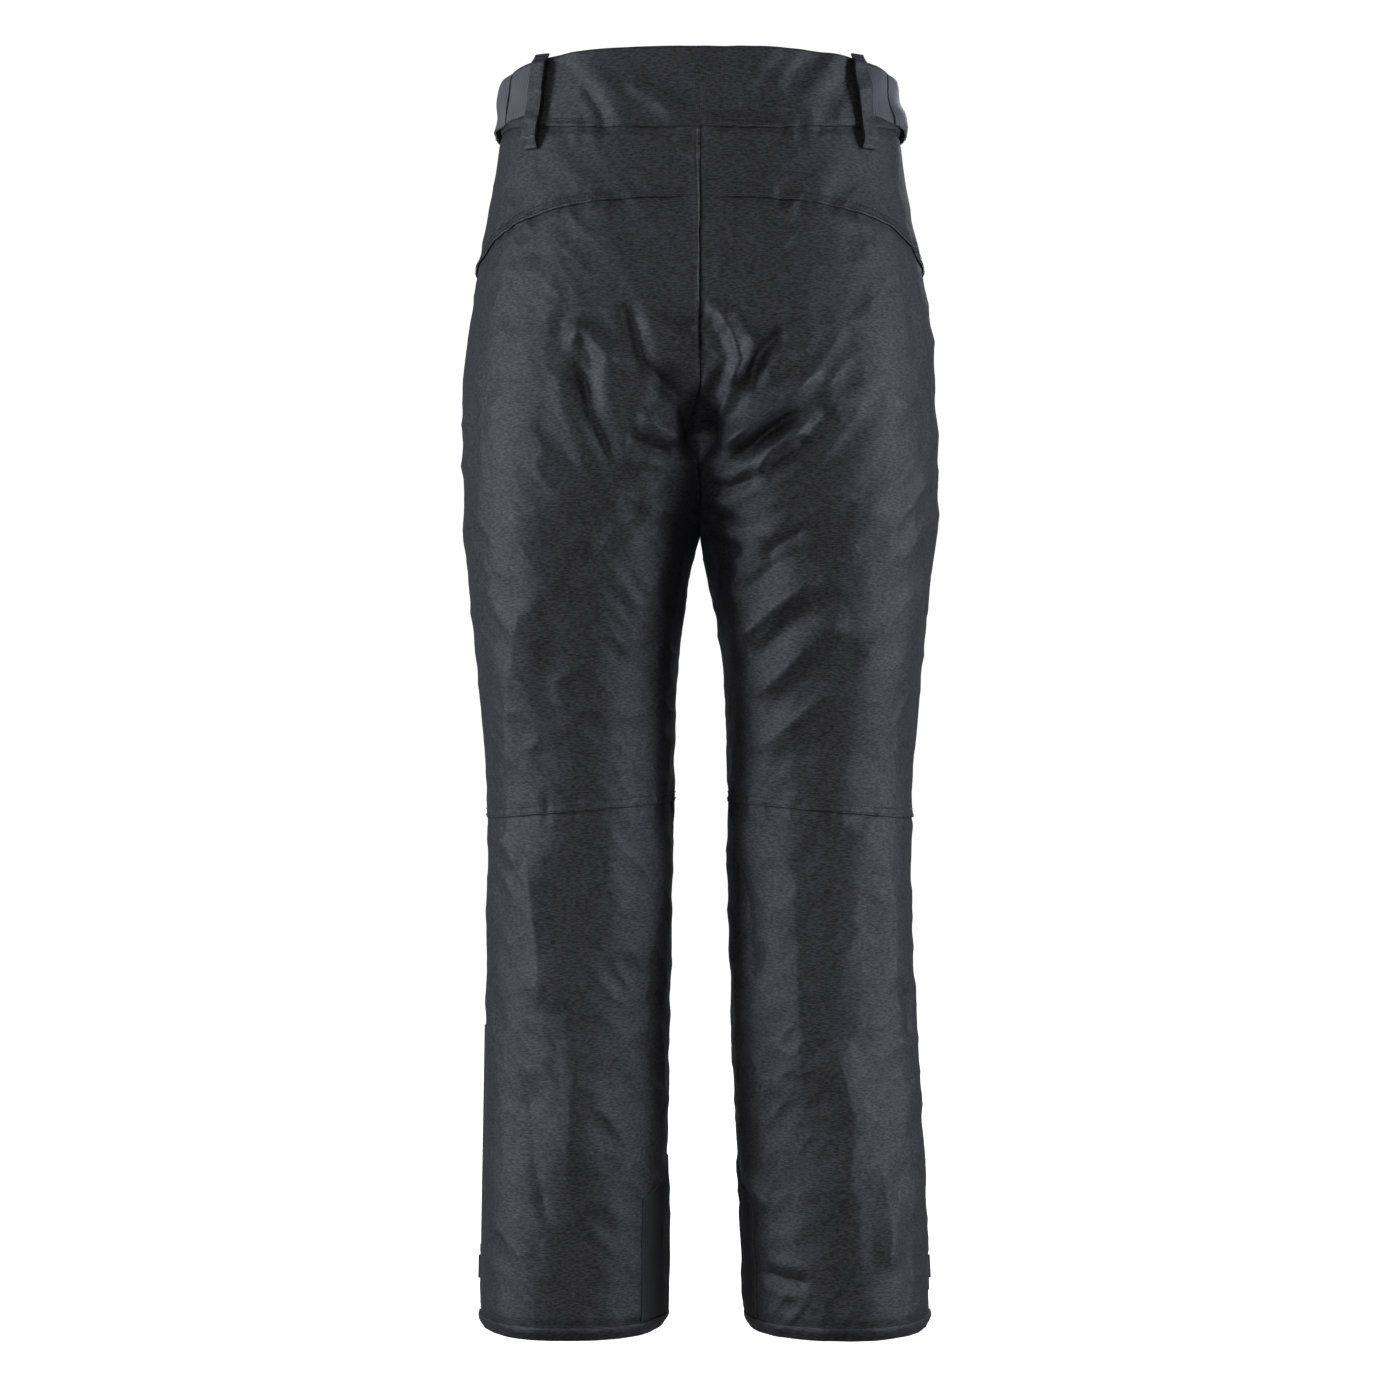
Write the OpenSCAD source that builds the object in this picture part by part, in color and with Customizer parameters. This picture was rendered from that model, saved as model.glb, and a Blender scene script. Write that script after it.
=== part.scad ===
// Insulated ski pants, hanging as they do when worn.
// +Z is up, the wearer faces -Y and the wearer's left is +X.
// The origin is the middle of the waist opening, level with the side waist edge.

/* [Lengths] */
// Side waist edge down to the hem
outseam = 1038; // [1000:1:1080]
// Side waist edge down to the crotch
rise = 375; // [365:1:385]
// How far the back of the waist stands above the side, and the front below it
waist_tilt = 12; // [6:1:16]
// Waistband height at the sides
band_h = 45; // [42:1:50]
// Extra waistband height at centre back and centre front
band_extra = 10; // [4:1:12]
// Hem band height
hem_h = 11; // [9:1:14]

/* [Widths] */
// Waist, side to side
waist_w = 316; // [306:1:326]
// Hips, side to side
hip_w = 396; // [388:1:406]
// Leg at the knee
knee_w = 156; // [150:1:162]
// Leg at the hem
hem_w = 156; // [152:1:166]
// Gap between the legs at the knee
knee_gap = 44; // [36:1:52]
// Gap between the legs at the hem
hem_gap = 58; // [50:1:64]
// How far the right hem stands further out than the left
right_lean = 8; // [0:1:10]

/* [Layers] */
// Outer fabric
shell_t = 1.8; // [1.5:0.1:2]
// Quilted wadding and lining together
lining_t = 2.4; // [1.5:0.1:3]
// Surface of the shell down to the lining
lining_in = 4.8; // [4.7:0.1:5.5]
// How far the waistband stands proud of the shell
band_proud = 1.5; // [1:0.1:2]

/* [Trim] */
// Belt loop width as a share of the half waist
loop_share = 0.056; // [0.04:0.002:0.07]
// Room under a belt loop
loop_room = 8; // [7:0.5:9]
// Side adjuster strap width
strap_w = 42; // [36:1:44]
// Zip chain width, closed
chain_w = 5.6; // [5:0.1:6]
// Snap fastener cap radius
snap_r = 7.5; // [7:0.1:8]

/* [Hidden] */

LEFT = 1;
RIGHT = -1;
SIDE_SEAM = 0.52;      // share of the way round, from centre back to centre front
BODY_GAP = 2.0;        // clearance between fabric on different bodies
FOLD_GAP = 0.9;        // clearance between a fold and the fabric that it leads into
TOUCH = 0.05;          // clearance between pieces of one body that lie on each other
FOLD_REACH = 190;      // height of the hip fold at the side, above the crotch
FOLD_DROP = 150;       // height of the hip fold band
KNEE_FOLD_TOP = -600;
KNEE_FOLD_BOTTOM = -745;
HIPS_START = 60;       // below this depth the seat starts to part into two legs
FABRIC = [0.16, 0.16, 0.18];
TRIM = [0.10, 0.10, 0.11];
LINING = [0.28, 0.28, 0.31];
METAL = [0.55, 0.56, 0.60];

// Depth of the garment behind and in front of its middle, by share of the outseam
DEPTHS_BACK = [[-0.02, 111], [0, 112], [0.06, 119], [0.11, 129], [0.16, 137], [0.21, 141.5],
    [0.26, 141], [0.31, 135], [0.36, 124], [0.42, 112], [0.48, 101], [0.54, 92],
    [0.60, 86], [0.68, 84], [0.78, 86], [0.88, 88], [1, 88]];
DEPTHS_FRONT = [[-0.02, 107], [0, 108], [0.06, 113], [0.11, 117], [0.16, 119.5], [0.21, 121],
    [0.26, 121], [0.31, 119.5], [0.36, 116], [0.42, 111], [0.48, 106], [0.54, 98],
    [0.60, 90], [0.68, 85], [0.78, 83], [0.88, 84.5], [1, 86]];

function mix(a, b, t) = a + (b - a) * t;
function clamp(x, low, high) = min(high, max(low, x));
function smooth(t) = let (c = clamp(t, 0, 1)) c * c * (3 - 2 * c);
function spow(x, p) = sign(x) * pow(abs(x), p);

// ---- the shape of the garment ----

// Share of the way down the rise, and down the leg below it
function seat_share(z) = clamp(-z / rise, 0, 1);
function leg_share(z) = max(0, (-z - rise) / (outseam - rise));

// How far the seat has parted into two legs: 0 one ellipse, 1 two legs that touch
function parting(z) = pow(clamp((-z - HIPS_START) / (rise - HIPS_START), 0, 1), 1.6);

function seat_half_w(z) = mix(waist_w, hip_w, pow(sin(90 * min(1, seat_share(z) / 0.83)), 1.15)) / 2;

function leg_half_w(z) = let (g = leg_share(z))
    g < 0.3 ? mix(knee_w / 2, hip_w / 4, pow(1 - g / 0.3, 1.5))
            : mix(knee_w / 2, hem_w / 2, pow((g - 0.3) / 0.7, 2));

function leg_gap(z) = let (g = leg_share(z))
    knee_gap / 2 * sin(90 * min(1, g / 0.27)) + (hem_gap - knee_gap) / 2 * max(0, (g - 0.4) / 0.6);

// Half width and middle of one leg's cross-section
function loop_a(z) = z > -rise ? seat_half_w(z) / (1 + parting(z)) : leg_half_w(z);
function loop_x(z) = z > -rise ? seat_half_w(z) * parting(z) / (1 + parting(z))
                               : leg_half_w(z) + leg_gap(z);
function squareness(z) = z > -rise ? 2.4 : mix(2.4, 2.15, min(1, leg_share(z) * 4));
function depth_back(z) = lookup(-z / outseam, DEPTHS_BACK);
function depth_front(z) = lookup(-z / outseam, DEPTHS_FRONT);
function lean(z, side) = side == RIGHT ? -right_lean * smooth((-z - 700) / 320) : 0;

// A point u of the way round one half, from centre back (0) by the side (0.5) to
// centre front (1), at height z and d below the outer surface
function on_half(u, z, d, side) = let (
        a = loop_a(z) - d,
        c = loop_x(z),
        n = squareness(z),
        start = acos(pow(min(1, c / a), n / 2)),
        turn = start + u * (360 - 2 * start),
        b = sin(turn) > 0 ? depth_back(z) - d : depth_front(z) - d)
    [side * (c - a * spow(cos(turn), 2 / n)) + lean(z, side), b * spow(sin(turn), 2 / n), z];

// The same point by the way round the whole waist: 0 centre back, 1 centre front, left positive
function on_waist(s, z, d) = let (w = s > 1 ? s - 2 : s) on_half(abs(w), z, d, w < 0 ? RIGHT : LEFT);

// ---- seam lines ----

function waist_top(u) = waist_tilt * cos(180 * u);
function waist_seam(u) = -band_h - band_extra * pow(cos(180 * u), 2);
function yoke_seam(u) = -112 - 60 * pow(clamp(u / SIDE_SEAM, 0, 1), 2.2);
function hip_start(u) = -rise + FOLD_REACH * sin(180 * clamp(u, 0, 1));
function hip_end(u) = hip_start(u) - FOLD_DROP;
function hem_top(u) = -outseam + hem_h;

// ---- sheet solids ----

function grid_faces(nu, nz) = let (row = nz + 1, layer = (nu + 1) * row) [
    for (i = [0:nu - 1]) for (j = [0:nz - 1])
        let (p = i * row + j, q = p + row) each
            [[p, q, q + 1], [p, q + 1, p + 1],
             [layer + p, layer + q + 1, layer + q], [layer + p, layer + p + 1, layer + q + 1]]];

// The narrow faces that join the outer and the inner surface along one edge
function edge_faces(list, layer) = [
    for (k = [0:len(list) - 2]) let (p = list[k], q = list[k + 1]) each
        [[q, p, layer + p], [q, layer + p, layer + q]]];

// A sheet through points(u share, z share, layer): layer 0 is its outer face, 1 its inner face.
// closed joins the last column to the first. flipped is for the mirrored side.
module sheet(nu, nz, closed, flipped, point) {
    row = nz + 1;
    layer = (nu + 1) * row;
    points = [for (l = [0, 1]) for (i = [0:nu]) for (j = [0:nz])
        point((closed && i == nu) ? 0 : i / nu, j / nz, l)];
    top = [for (i = [0:nu]) i * row];
    bottom = [for (i = [nu:-1:0]) i * row + nz];
    ends = closed ? [] : concat(edge_faces([for (j = [nz:-1:0]) j], layer),
                                edge_faces([for (j = [0:nz]) nu * row + j], layer));
    faces = concat(grid_faces(nu, nz), edge_faces(top, layer), edge_faces(bottom, layer), ends);
    welded = closed ? [for (f = faces) [for (k = f) let (l = floor(k / layer), m = k % layer)
        (m >= nu * row ? m - nu * row : m) + l * layer]] : faces;
    polyhedron(points = points,
        faces = flipped ? [for (f = welded) [f[2], f[1], f[0]]] : welded, convexity = 6);
}

// Fabric on one half between two seam lines. out and t are its outer face's depth and thickness.
module panel(side, u0, u1, top, bottom, nu, nz, out = 0, t = shell_t, clear = 0) {
    sheet(nu, nz, false, side == RIGHT, function (a, b, l)
        let (u = mix(u0, u1, a), z = mix(top(u), bottom(u), b),
             p = on_half(u, z, out + l * t, side)) [p[0] + side * clear, p[1], p[2]]);
}

// Fabric all round one leg. out is a function of the share of the way down.
module sleeve(side, top, bottom, nu, nz, out = function (b) 0, t = shell_t) {
    sheet(nu, nz, true, side == RIGHT, function (a, b, l)
        on_half(a, mix(top(a), bottom(a), b), out(b) + l * t, side));
}

// Fabric round the waist, which may cross centre back or centre front
module wrap(s0, s1, top, bottom, nu, nz, out, t) {
    sheet(nu, nz, false, false, function (a, b, l)
        let (s = mix(s0, s1, a)) on_waist(s, mix(top(s), bottom(s), b), out(s, b) + l * t));
}

function level(z) = function (u) z;
function always(d) = function (s, b) d;
function around(s) = let (w = s > 1 ? 2 - s : abs(s)) w;

// ---- waistband ----

module waistband_back() {
    color(FABRIC) wrap(-0.5, 0.5, function (s) waist_top(around(s)),
        function (s) waist_seam(around(s)) + TOUCH, 28, 3, always(-band_proud), 4);
}

module waistband_front(side) {
    color(FABRIC) panel(side, 0.5 + 0.0005, 0.992, function (u) waist_top(u),
        function (u) waist_seam(u) + TOUCH, 12, 3, -band_proud, 4);
}

// ---- panels that hang from the waistband ----

module back_yoke(side) {
    color(FABRIC) panel(side, 0, SIDE_SEAM, function (u) waist_seam(u), function (u) yoke_seam(u), 12, 3);
}

module seat_panel(side) {
    color(FABRIC) panel(side, 0, SIDE_SEAM, function (u) yoke_seam(u), function (u) hip_start(u), 12, 7);
}

module front_panel(side) {
    color(FABRIC) panel(side, SIDE_SEAM, 1, function (u) waist_seam(u), function (u) hip_start(u), 12, 8);
}

module hip_lining() {
    color(LINING) for (side = [LEFT, RIGHT])
        panel(side, 0.03, 0.965, function (u) waist_seam(u) - 1, function (u) hip_start(u) + 32,
            26, 9, lining_in, lining_t, 0.3);
}

// ---- legs ----

module hip_fold(side) {
    color(FABRIC) sleeve(side, function (u) hip_start(u) - BODY_GAP, function (u) hip_end(u) + FOLD_GAP, 24, 5);
}

module back_thigh(side) {
    color(FABRIC) panel(side, 0, SIDE_SEAM, function (u) hip_end(u), level(KNEE_FOLD_TOP), 12, 4);
}

module front_thigh(side) {
    color(FABRIC) panel(side, SIDE_SEAM, 1, function (u) hip_end(u), level(KNEE_FOLD_TOP), 12, 4);
}

module knee_fold(side) {
    color(FABRIC) sleeve(side, level(KNEE_FOLD_TOP - BODY_GAP), level(KNEE_FOLD_BOTTOM + FOLD_GAP), 24, 4);
}

module back_calf(side) {
    color(FABRIC) panel(side, 0, SIDE_SEAM, level(KNEE_FOLD_BOTTOM), function (u) hem_top(u), 12, 6);
}

module front_shin(side) {
    color(FABRIC) panel(side, SIDE_SEAM, 1, level(KNEE_FOLD_BOTTOM), function (u) hem_top(u), 12, 6);
}

module thigh_lining(side) {
    color(LINING) sleeve(side, function (u) hip_end(u) - 8, level(KNEE_FOLD_TOP + 8), 20, 4,
        function (b) lining_in, lining_t);
}

module shin_lining(side) {
    color(LINING) sleeve(side, level(KNEE_FOLD_BOTTOM - 8), level(-outseam + 30), 20, 5,
        function (b) lining_in, lining_t);
}

// A patch of tough fabric over the inseam at the ankle, cut off slanting at its upper corners
module kick_patch(side) {
    back = side == LEFT ? 0.12 : 0.08;
    color(TRIM) sheet(8, 4, false, side == RIGHT, function (a, b, l)
        let (u = mix(-0.13, back, a), slant = 30 * abs(2 * a - 1),
             z = mix(-outseam + 145 - slant, -outseam + hem_h + 1, b))
        on_half(u, z, -1.9 + l * 1.1, side));
}

module hem_band(side) {
    color(TRIM) sleeve(side, level(-outseam + hem_h - TOUCH), level(-outseam), 28, 1, function (b) -1.0, 3.4);
}

// An inner cuff that grips the boot: it narrows to an elastic edge
module gaiter(side) {
    color(TRIM) sleeve(side, level(-outseam + 178), level(-outseam + 26), 20, 5,
        function (b) 9 + 13 * smooth(b), 1.4);
}

// ---- belt loops, adjusters, hanger loops ----

LOOP_BACK = 0.28;
LOOP_FRONT = 0.74;
LOOP_TOP = 2;
LOOP_BOTTOM = -64;

// A strap sewn down at both ends, standing off the band between them
module belt_loop(side, u) {
    sheet(3, 10, false, side == RIGHT, function (a, b, l)
        let (v = u + (a - 0.5) * loop_share, z = mix(LOOP_TOP + waist_top(u), LOOP_BOTTOM, b),
             lift = smooth(min(b, 1 - b) * 12))
        on_half(v, z, -band_proud - TOUCH - loop_room * lift - (1 - l) * 1.6, side));
}

module belt_loops(u) {
    color(TRIM) for (side = [LEFT, RIGHT]) belt_loop(side, u);
}

STRAP_ROOT = 0.302;
STRAP_HINGE = 0.40;
STRAP_END = 0.66;
STRAP_T = 1.6;

// The strap's upper edge falls a little towards the front
function strap_top(u) = mix(4, -9, (u - STRAP_ROOT) / (STRAP_END - STRAP_ROOT));

module strap(side, u0, u1, nu, out) {
    sheet(nu, 2, false, side == RIGHT, function (a, b, l)
        let (u = mix(u0, u1, a), round_end = u > 0.64 ? 7 * pow((u - 0.64) / 0.02, 2) : 0)
        on_half(u, strap_top(u) - mix(round_end, strap_w - round_end, b), out(u) - (1 - l) * STRAP_T, side));
}

module adjuster_anchors() {
    color(TRIM) for (side = [LEFT, RIGHT])
        strap(side, STRAP_ROOT, STRAP_HINGE - 0.007, 6, function (u) -band_proud - 0.3);
}

// The free end of the strap bows out as it rounds the side, then lies on its pad
module adjuster_tab(side) {
    color(TRIM) strap(side, STRAP_HINGE, STRAP_END, 12,
        function (u) -band_proud - 0.3 - 4.2 * sin(180 * (u - STRAP_HINGE) / 0.22) * (u < 0.62 ? 1 : 0) - 1.2 * smooth((u - 0.5) / 0.1));
}

module adjuster_pads() {
    color(TRIM) for (side = [LEFT, RIGHT])
        sheet(5, 1, false, side == RIGHT, function (a, b, l)
            on_half(mix(0.57, 0.68, a), mix(-6, -36, b), -band_proud - TOUCH - (1 - l) * 0.8, side));
}

module hanger_loops() {
    color(TRIM) for (side = [LEFT, RIGHT])
        sheet(2, 6, false, side == RIGHT, function (a, b, l)
            on_half(0.44 + 0.02 * a, mix(2, -38, b), 2.6 + 6 * smooth(4 * min(b, 1 - b)) + l * 1, side));
}

// ---- zips ----

function unit(v) = v / norm(v);
function straight_up(low, high) = unit(high - low);

// Children stand at p with their Z along up and their Y along out, squared up
module stand(p, up, out) {
    ez = unit(up);
    ey = unit(out - (out * ez) * ez);
    ex = cross(ey, ez);
    multmatrix([[ex[0], ey[0], ez[0], p[0]], [ex[1], ey[1], ez[1], p[1]],
                [ex[2], ey[2], ez[2], p[2]], [0, 0, 0, 1]]) children();
}

TAPE_T = 0.5;
CHAIN_T = 1.6;

// Closed chain on its tape with a stop at each end, from z = 0 up, its back at y = 0
module zip_chain(length, tape_w) {
    translate([-tape_w / 2, 0, 0]) cube([tape_w, TAPE_T, length]);
    translate([-chain_w / 2, TAPE_T, 3]) cube([chain_w, CHAIN_T, length - 6]);
    for (z = [1, length - 3]) translate([-chain_w / 2 - 0.6, TAPE_T, z]) cube([chain_w + 1.2, CHAIN_T + 0.6, 2]);
}

SLIDER_W = 9;
SLIDER_L = 11;
SLIDER_GAP = 0.3;

// Slider body over the chain, its middle at z = 0: a top plate, two flanges and a bridge for the pull
module zip_slider() {
    y0 = TAPE_T + SLIDER_GAP;
    y1 = TAPE_T + CHAIN_T + SLIDER_GAP;
    translate([-SLIDER_W / 2, y1, -SLIDER_L / 2]) cube([SLIDER_W, 1, SLIDER_L]);
    for (x = [-SLIDER_W / 2, SLIDER_W / 2 - 1.2]) translate([x, y0, -SLIDER_L / 2]) cube([1.2, y1 - y0 + 0.5, SLIDER_L]);
    for (z = [-3.4, 2.2]) translate([-1.5, y1 + 0.9, z]) cube([3, 2.3, 1.2]);
    translate([-1.5, y1 + 2.6, -3.4]) cube([3, 0.8, 6.8]);
}

PULL_PIN = [0, TAPE_T + CHAIN_T + SLIDER_GAP + 1.8, 0.6];

// Pull tab that hangs from the bridge: a wire eye and a moulded grip
module zip_pull(length) {
    translate(PULL_PIN) {
        rotate([0, 90, 0]) cylinder(r = 0.55, h = 6, center = true, $fn = 32);
        for (x = [-3, 3]) translate([x, 0, 0]) rotate([180, 0, 0]) cylinder(r = 0.55, h = 7, $fn = 32);
        translate([-3.9, -0.2, -7.8 - length]) cube([7.8, 2, length + 1.4]);
    }
}

// Where each zip's chain starts and ends: low end, high end, outward direction
function zip_line(u, z0, z1, stand_off, side) =
    [on_half(u, z0, -stand_off, side), on_half(u, z1, -stand_off, side)];

FLY_LINE = zip_line(1, -206, -60, 3.4, LEFT);
function pocket_line(side) = zip_line(0.64, -222, -72, 4.2, side);
function hem_line(side) = zip_line(0.56, -1014, -790, 1.6, side);
FLY_OUT = [0, -1, 0];
function pocket_out(side) = unit([side * 0.78, -0.62, 0.05]);
function hem_out(side) = unit([side * 0.93, -0.37, 0]);

module chain_on(line, out, tape_w) {
    stand(line[0], line[1] - line[0], out) zip_chain(norm(line[1] - line[0]), tape_w);
}

// A slider or pull that is so far from the chain's low end
module riding(line, out, from_low) {
    stand(line[0] + from_low * straight_up(line[0], line[1]), line[1] - line[0], out) children();
}

function line_length(line) = norm(line[1] - line[0]);
SLIDER_REST = 9;       // a closed zip's slider stands this far from the chain's end

module fly_zip() { color(TRIM) chain_on(FLY_LINE, FLY_OUT, 22); }

module fly_slider() {
    color(METAL) riding(FLY_LINE, FLY_OUT, line_length(FLY_LINE) - SLIDER_REST) zip_slider();
}

module fly_pull() {
    color(METAL) riding(FLY_LINE, FLY_OUT, line_length(FLY_LINE) - SLIDER_REST) zip_pull(14);
}

module pocket_zips() {
    color(TRIM) for (side = [LEFT, RIGHT]) chain_on(pocket_line(side), pocket_out(side), 12);
}

module pocket_slider(side) {
    line = pocket_line(side);
    color(METAL) riding(line, pocket_out(side), line_length(line) - SLIDER_REST) zip_slider();
}

module pocket_pull(side) {
    line = pocket_line(side);
    color(METAL) riding(line, pocket_out(side), line_length(line) - SLIDER_REST) zip_pull(20);
}

// A flat pouch behind the front panel
module pocket_bags() {
    color(LINING) for (side = [LEFT, RIGHT])
        panel(side, 0.60, 0.82, level(-74), function (u) max(-232, hip_start(u) + 10), 8, 6, shell_t + 1.2, 0.8);
}

module hem_zip(side) { color(TRIM) chain_on(hem_line(side), hem_out(side), 14); }

HEM_SLIDER_REST = 34;

module hem_slider(side) {
    color(METAL) riding(hem_line(side), hem_out(side), HEM_SLIDER_REST) zip_slider();
}

module hem_pull(side) {
    color(METAL) riding(hem_line(side), hem_out(side), HEM_SLIDER_REST) zip_pull(18);
}

// ---- fly and waist closure ----

// A strip of fabric behind the fly zip that keeps wind and cloth out of its teeth
module fly_guard() {
    color(LINING) wrap(0.93, 1.07, level(-58), level(-214), 6, 5,
        function (s, b) lining_in + lining_t + 2.5, 1.2);
}

TAB_ROOT = 0.91;
TAB_END = 1.085;
TAB_OUT = -7.6;
SNAP_TURNS = [1.02, 1.06];
SNAP_Z = -34;

// The waistband's overlap, which carries the snap caps
module waist_tab() {
    color(FABRIC) wrap(TAB_ROOT, TAB_END, function (s) waist_top(around(s)) - 1,
        function (s) waist_seam(around(s)) + 1.5, 12, 2, always(TAB_OUT), 2.2);
}

// Children stand on the waistband at a snap, their Z pointing outward
module at_snap(s) {
    p = on_waist(s, SNAP_Z, 0);
    a = on_waist(s + 0.01, SNAP_Z, 0) - on_waist(s - 0.01, SNAP_Z, 0);
    out = unit(cross([0, 0, 1], a));
    up = cross(out, unit(a));
    stand(p, out, up) children();
}

// Domed cap outside the tab and a socket ring inside it
module snap_cap() {
    rotate_extrude($fn = 64) polygon([[0, 8.3], [snap_r, 8.3], [snap_r, 8.8], [snap_r - 1.2, 9.8],
        [snap_r - 4, 10.4], [0, 10.6]]);
    difference() {
        translate([0, 0, 3.4]) cylinder(r = 5.2, h = 1.2, $fn = 64);
        translate([0, 0, 3]) cylinder(r = 3.4, h = 3, $fn = 64);
    }
}

module snap_caps() { color(METAL) for (s = SNAP_TURNS) at_snap(s) snap_cap(); }

module snap_stud() {
    translate([0, 0, 2.0]) cylinder(r = 6, h = 0.8, $fn = 64);
    translate([0, 0, 2.6]) cylinder(r = 2.9, h = 2.4, $fn = 64);
}

module snap_studs() { color(METAL) for (s = SNAP_TURNS) at_snap(s) snap_stud(); }

waistband_back();
waistband_front(LEFT);  // left_waistband_front
waistband_front(RIGHT);  // right_waistband_front
back_yoke(LEFT);  // left_back_yoke
back_yoke(RIGHT);  // right_back_yoke
seat_panel(LEFT);  // left_seat_panel
seat_panel(RIGHT);  // right_seat_panel
front_panel(LEFT);  // left_front_panel
front_panel(RIGHT);  // right_front_panel
hip_lining();
belt_loops(LOOP_BACK);  // back_belt_loops
belt_loops(LOOP_FRONT);  // front_belt_loops
adjuster_anchors();
adjuster_pads();
hanger_loops();
fly_zip();
snap_studs();
pocket_zips();
pocket_bags();
waist_tab();
snap_caps();
fly_guard();
fly_slider();
fly_pull();
adjuster_tab(LEFT);  // left_adjuster_tab
adjuster_tab(RIGHT);  // right_adjuster_tab
pocket_slider(LEFT);  // left_pocket_slider
pocket_pull(LEFT);  // left_pocket_pull
pocket_slider(RIGHT);  // right_pocket_slider
pocket_pull(RIGHT);  // right_pocket_pull
hip_fold(LEFT);  // left_hip_fold
hip_fold(RIGHT);  // right_hip_fold
back_thigh(LEFT);  // left_back_thigh
back_thigh(RIGHT);  // right_back_thigh
front_thigh(LEFT);  // left_front_thigh
front_thigh(RIGHT);  // right_front_thigh
thigh_lining(LEFT);  // left_thigh_lining
thigh_lining(RIGHT);  // right_thigh_lining
knee_fold(LEFT);  // left_knee_fold
knee_fold(RIGHT);  // right_knee_fold
back_calf(LEFT);  // left_back_calf
back_calf(RIGHT);  // right_back_calf
front_shin(LEFT);  // left_front_shin
front_shin(RIGHT);  // right_front_shin
kick_patch(LEFT);  // left_kick_patch
kick_patch(RIGHT);  // right_kick_patch
hem_band(LEFT);  // left_hem_band
hem_band(RIGHT);  // right_hem_band
gaiter(LEFT);  // left_gaiter
gaiter(RIGHT);  // right_gaiter
hem_zip(LEFT);  // left_hem_zip
hem_zip(RIGHT);  // right_hem_zip
shin_lining(LEFT);  // left_shin_lining
shin_lining(RIGHT);  // right_shin_lining
hem_slider(LEFT);  // left_hem_slider
hem_pull(LEFT);  // left_hem_pull
hem_slider(RIGHT);  // right_hem_slider
hem_pull(RIGHT);  // right_hem_pull
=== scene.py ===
import math

import bpy
import numpy as np
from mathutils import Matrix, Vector


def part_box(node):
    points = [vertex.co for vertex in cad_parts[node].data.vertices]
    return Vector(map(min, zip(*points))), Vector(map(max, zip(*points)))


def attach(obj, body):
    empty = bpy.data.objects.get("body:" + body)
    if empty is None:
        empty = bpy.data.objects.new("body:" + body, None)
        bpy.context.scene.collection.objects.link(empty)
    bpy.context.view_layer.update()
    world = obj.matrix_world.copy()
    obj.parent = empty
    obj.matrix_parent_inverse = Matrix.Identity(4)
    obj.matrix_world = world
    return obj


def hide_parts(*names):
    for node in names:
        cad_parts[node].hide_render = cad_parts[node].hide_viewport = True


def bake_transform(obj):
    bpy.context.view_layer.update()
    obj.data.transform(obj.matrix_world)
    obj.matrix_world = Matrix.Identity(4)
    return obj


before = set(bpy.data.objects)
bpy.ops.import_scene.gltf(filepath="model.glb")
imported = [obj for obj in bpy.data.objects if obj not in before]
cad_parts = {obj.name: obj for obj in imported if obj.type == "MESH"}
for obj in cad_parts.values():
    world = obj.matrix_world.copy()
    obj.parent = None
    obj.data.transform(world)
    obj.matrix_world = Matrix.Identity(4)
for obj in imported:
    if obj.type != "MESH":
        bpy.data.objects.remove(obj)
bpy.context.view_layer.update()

# ==== Seat panels and back thighs =====================================================
# Two large pieces of black woven polyester, one for each half, cut in one from the yoke
# seam down to the knee seam. They join at centre back, along the sides and the inseams.

LEFT = 1
RIGHT = -1
NAMES = {LEFT: "left", RIGHT: "right"}
SIDE_SEAM = 0.52
CELL = 0.002
CLOTH = 0.0014
# Length round one half from centre back to centre front: on the body, and on the flat cloth
HALF_ROUND = 0.43
CLOTH_ROUND = 0.45
CROTCH = -0.375
KNEE_AT = 0.3
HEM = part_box("left_hem_band")[0].z
KNEE_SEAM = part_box("left_back_thigh")[0].z
KNEE_DIP = 0.014
WAIST_HALF = 0.158
HIP_HALF = 0.198
KNEE_HALF = 0.078
HEM_HALF = 0.078
LEG_GAP = 0.022
HEM_GAP = 0.007
SEAT_SQUARENESS = 2.4
LEG_SQUARENESS = 2.15
PARTING_TOP = 0.06
RIGHT_LEAN = 0.008
LEAN_FROM = 0.7
# Depth of the garment behind and in front of its middle, in millimetres, by share of the way to the hem
DEPTH_AT = [-0.02, 0, 0.06, 0.11, 0.16, 0.21, 0.26, 0.31, 0.36, 0.42, 0.48, 0.54, 0.60, 0.68, 0.78, 0.88, 1]
DEPTH_BACK = [111, 112, 119, 129, 137, 141.5, 141, 135, 124, 112, 101, 92, 86, 84, 86, 88, 88]
DEPTH_FRONT = [107, 108, 113, 117, 119.5, 121, 121, 119.5, 116, 111, 106, 98, 90, 85, 83, 84.5, 86]


def smooth(t):
    t = np.clip(t, 0, 1)
    return t * t * (3 - 2 * t)


def mix(a, b, t):
    return a + (b - a) * t


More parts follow.
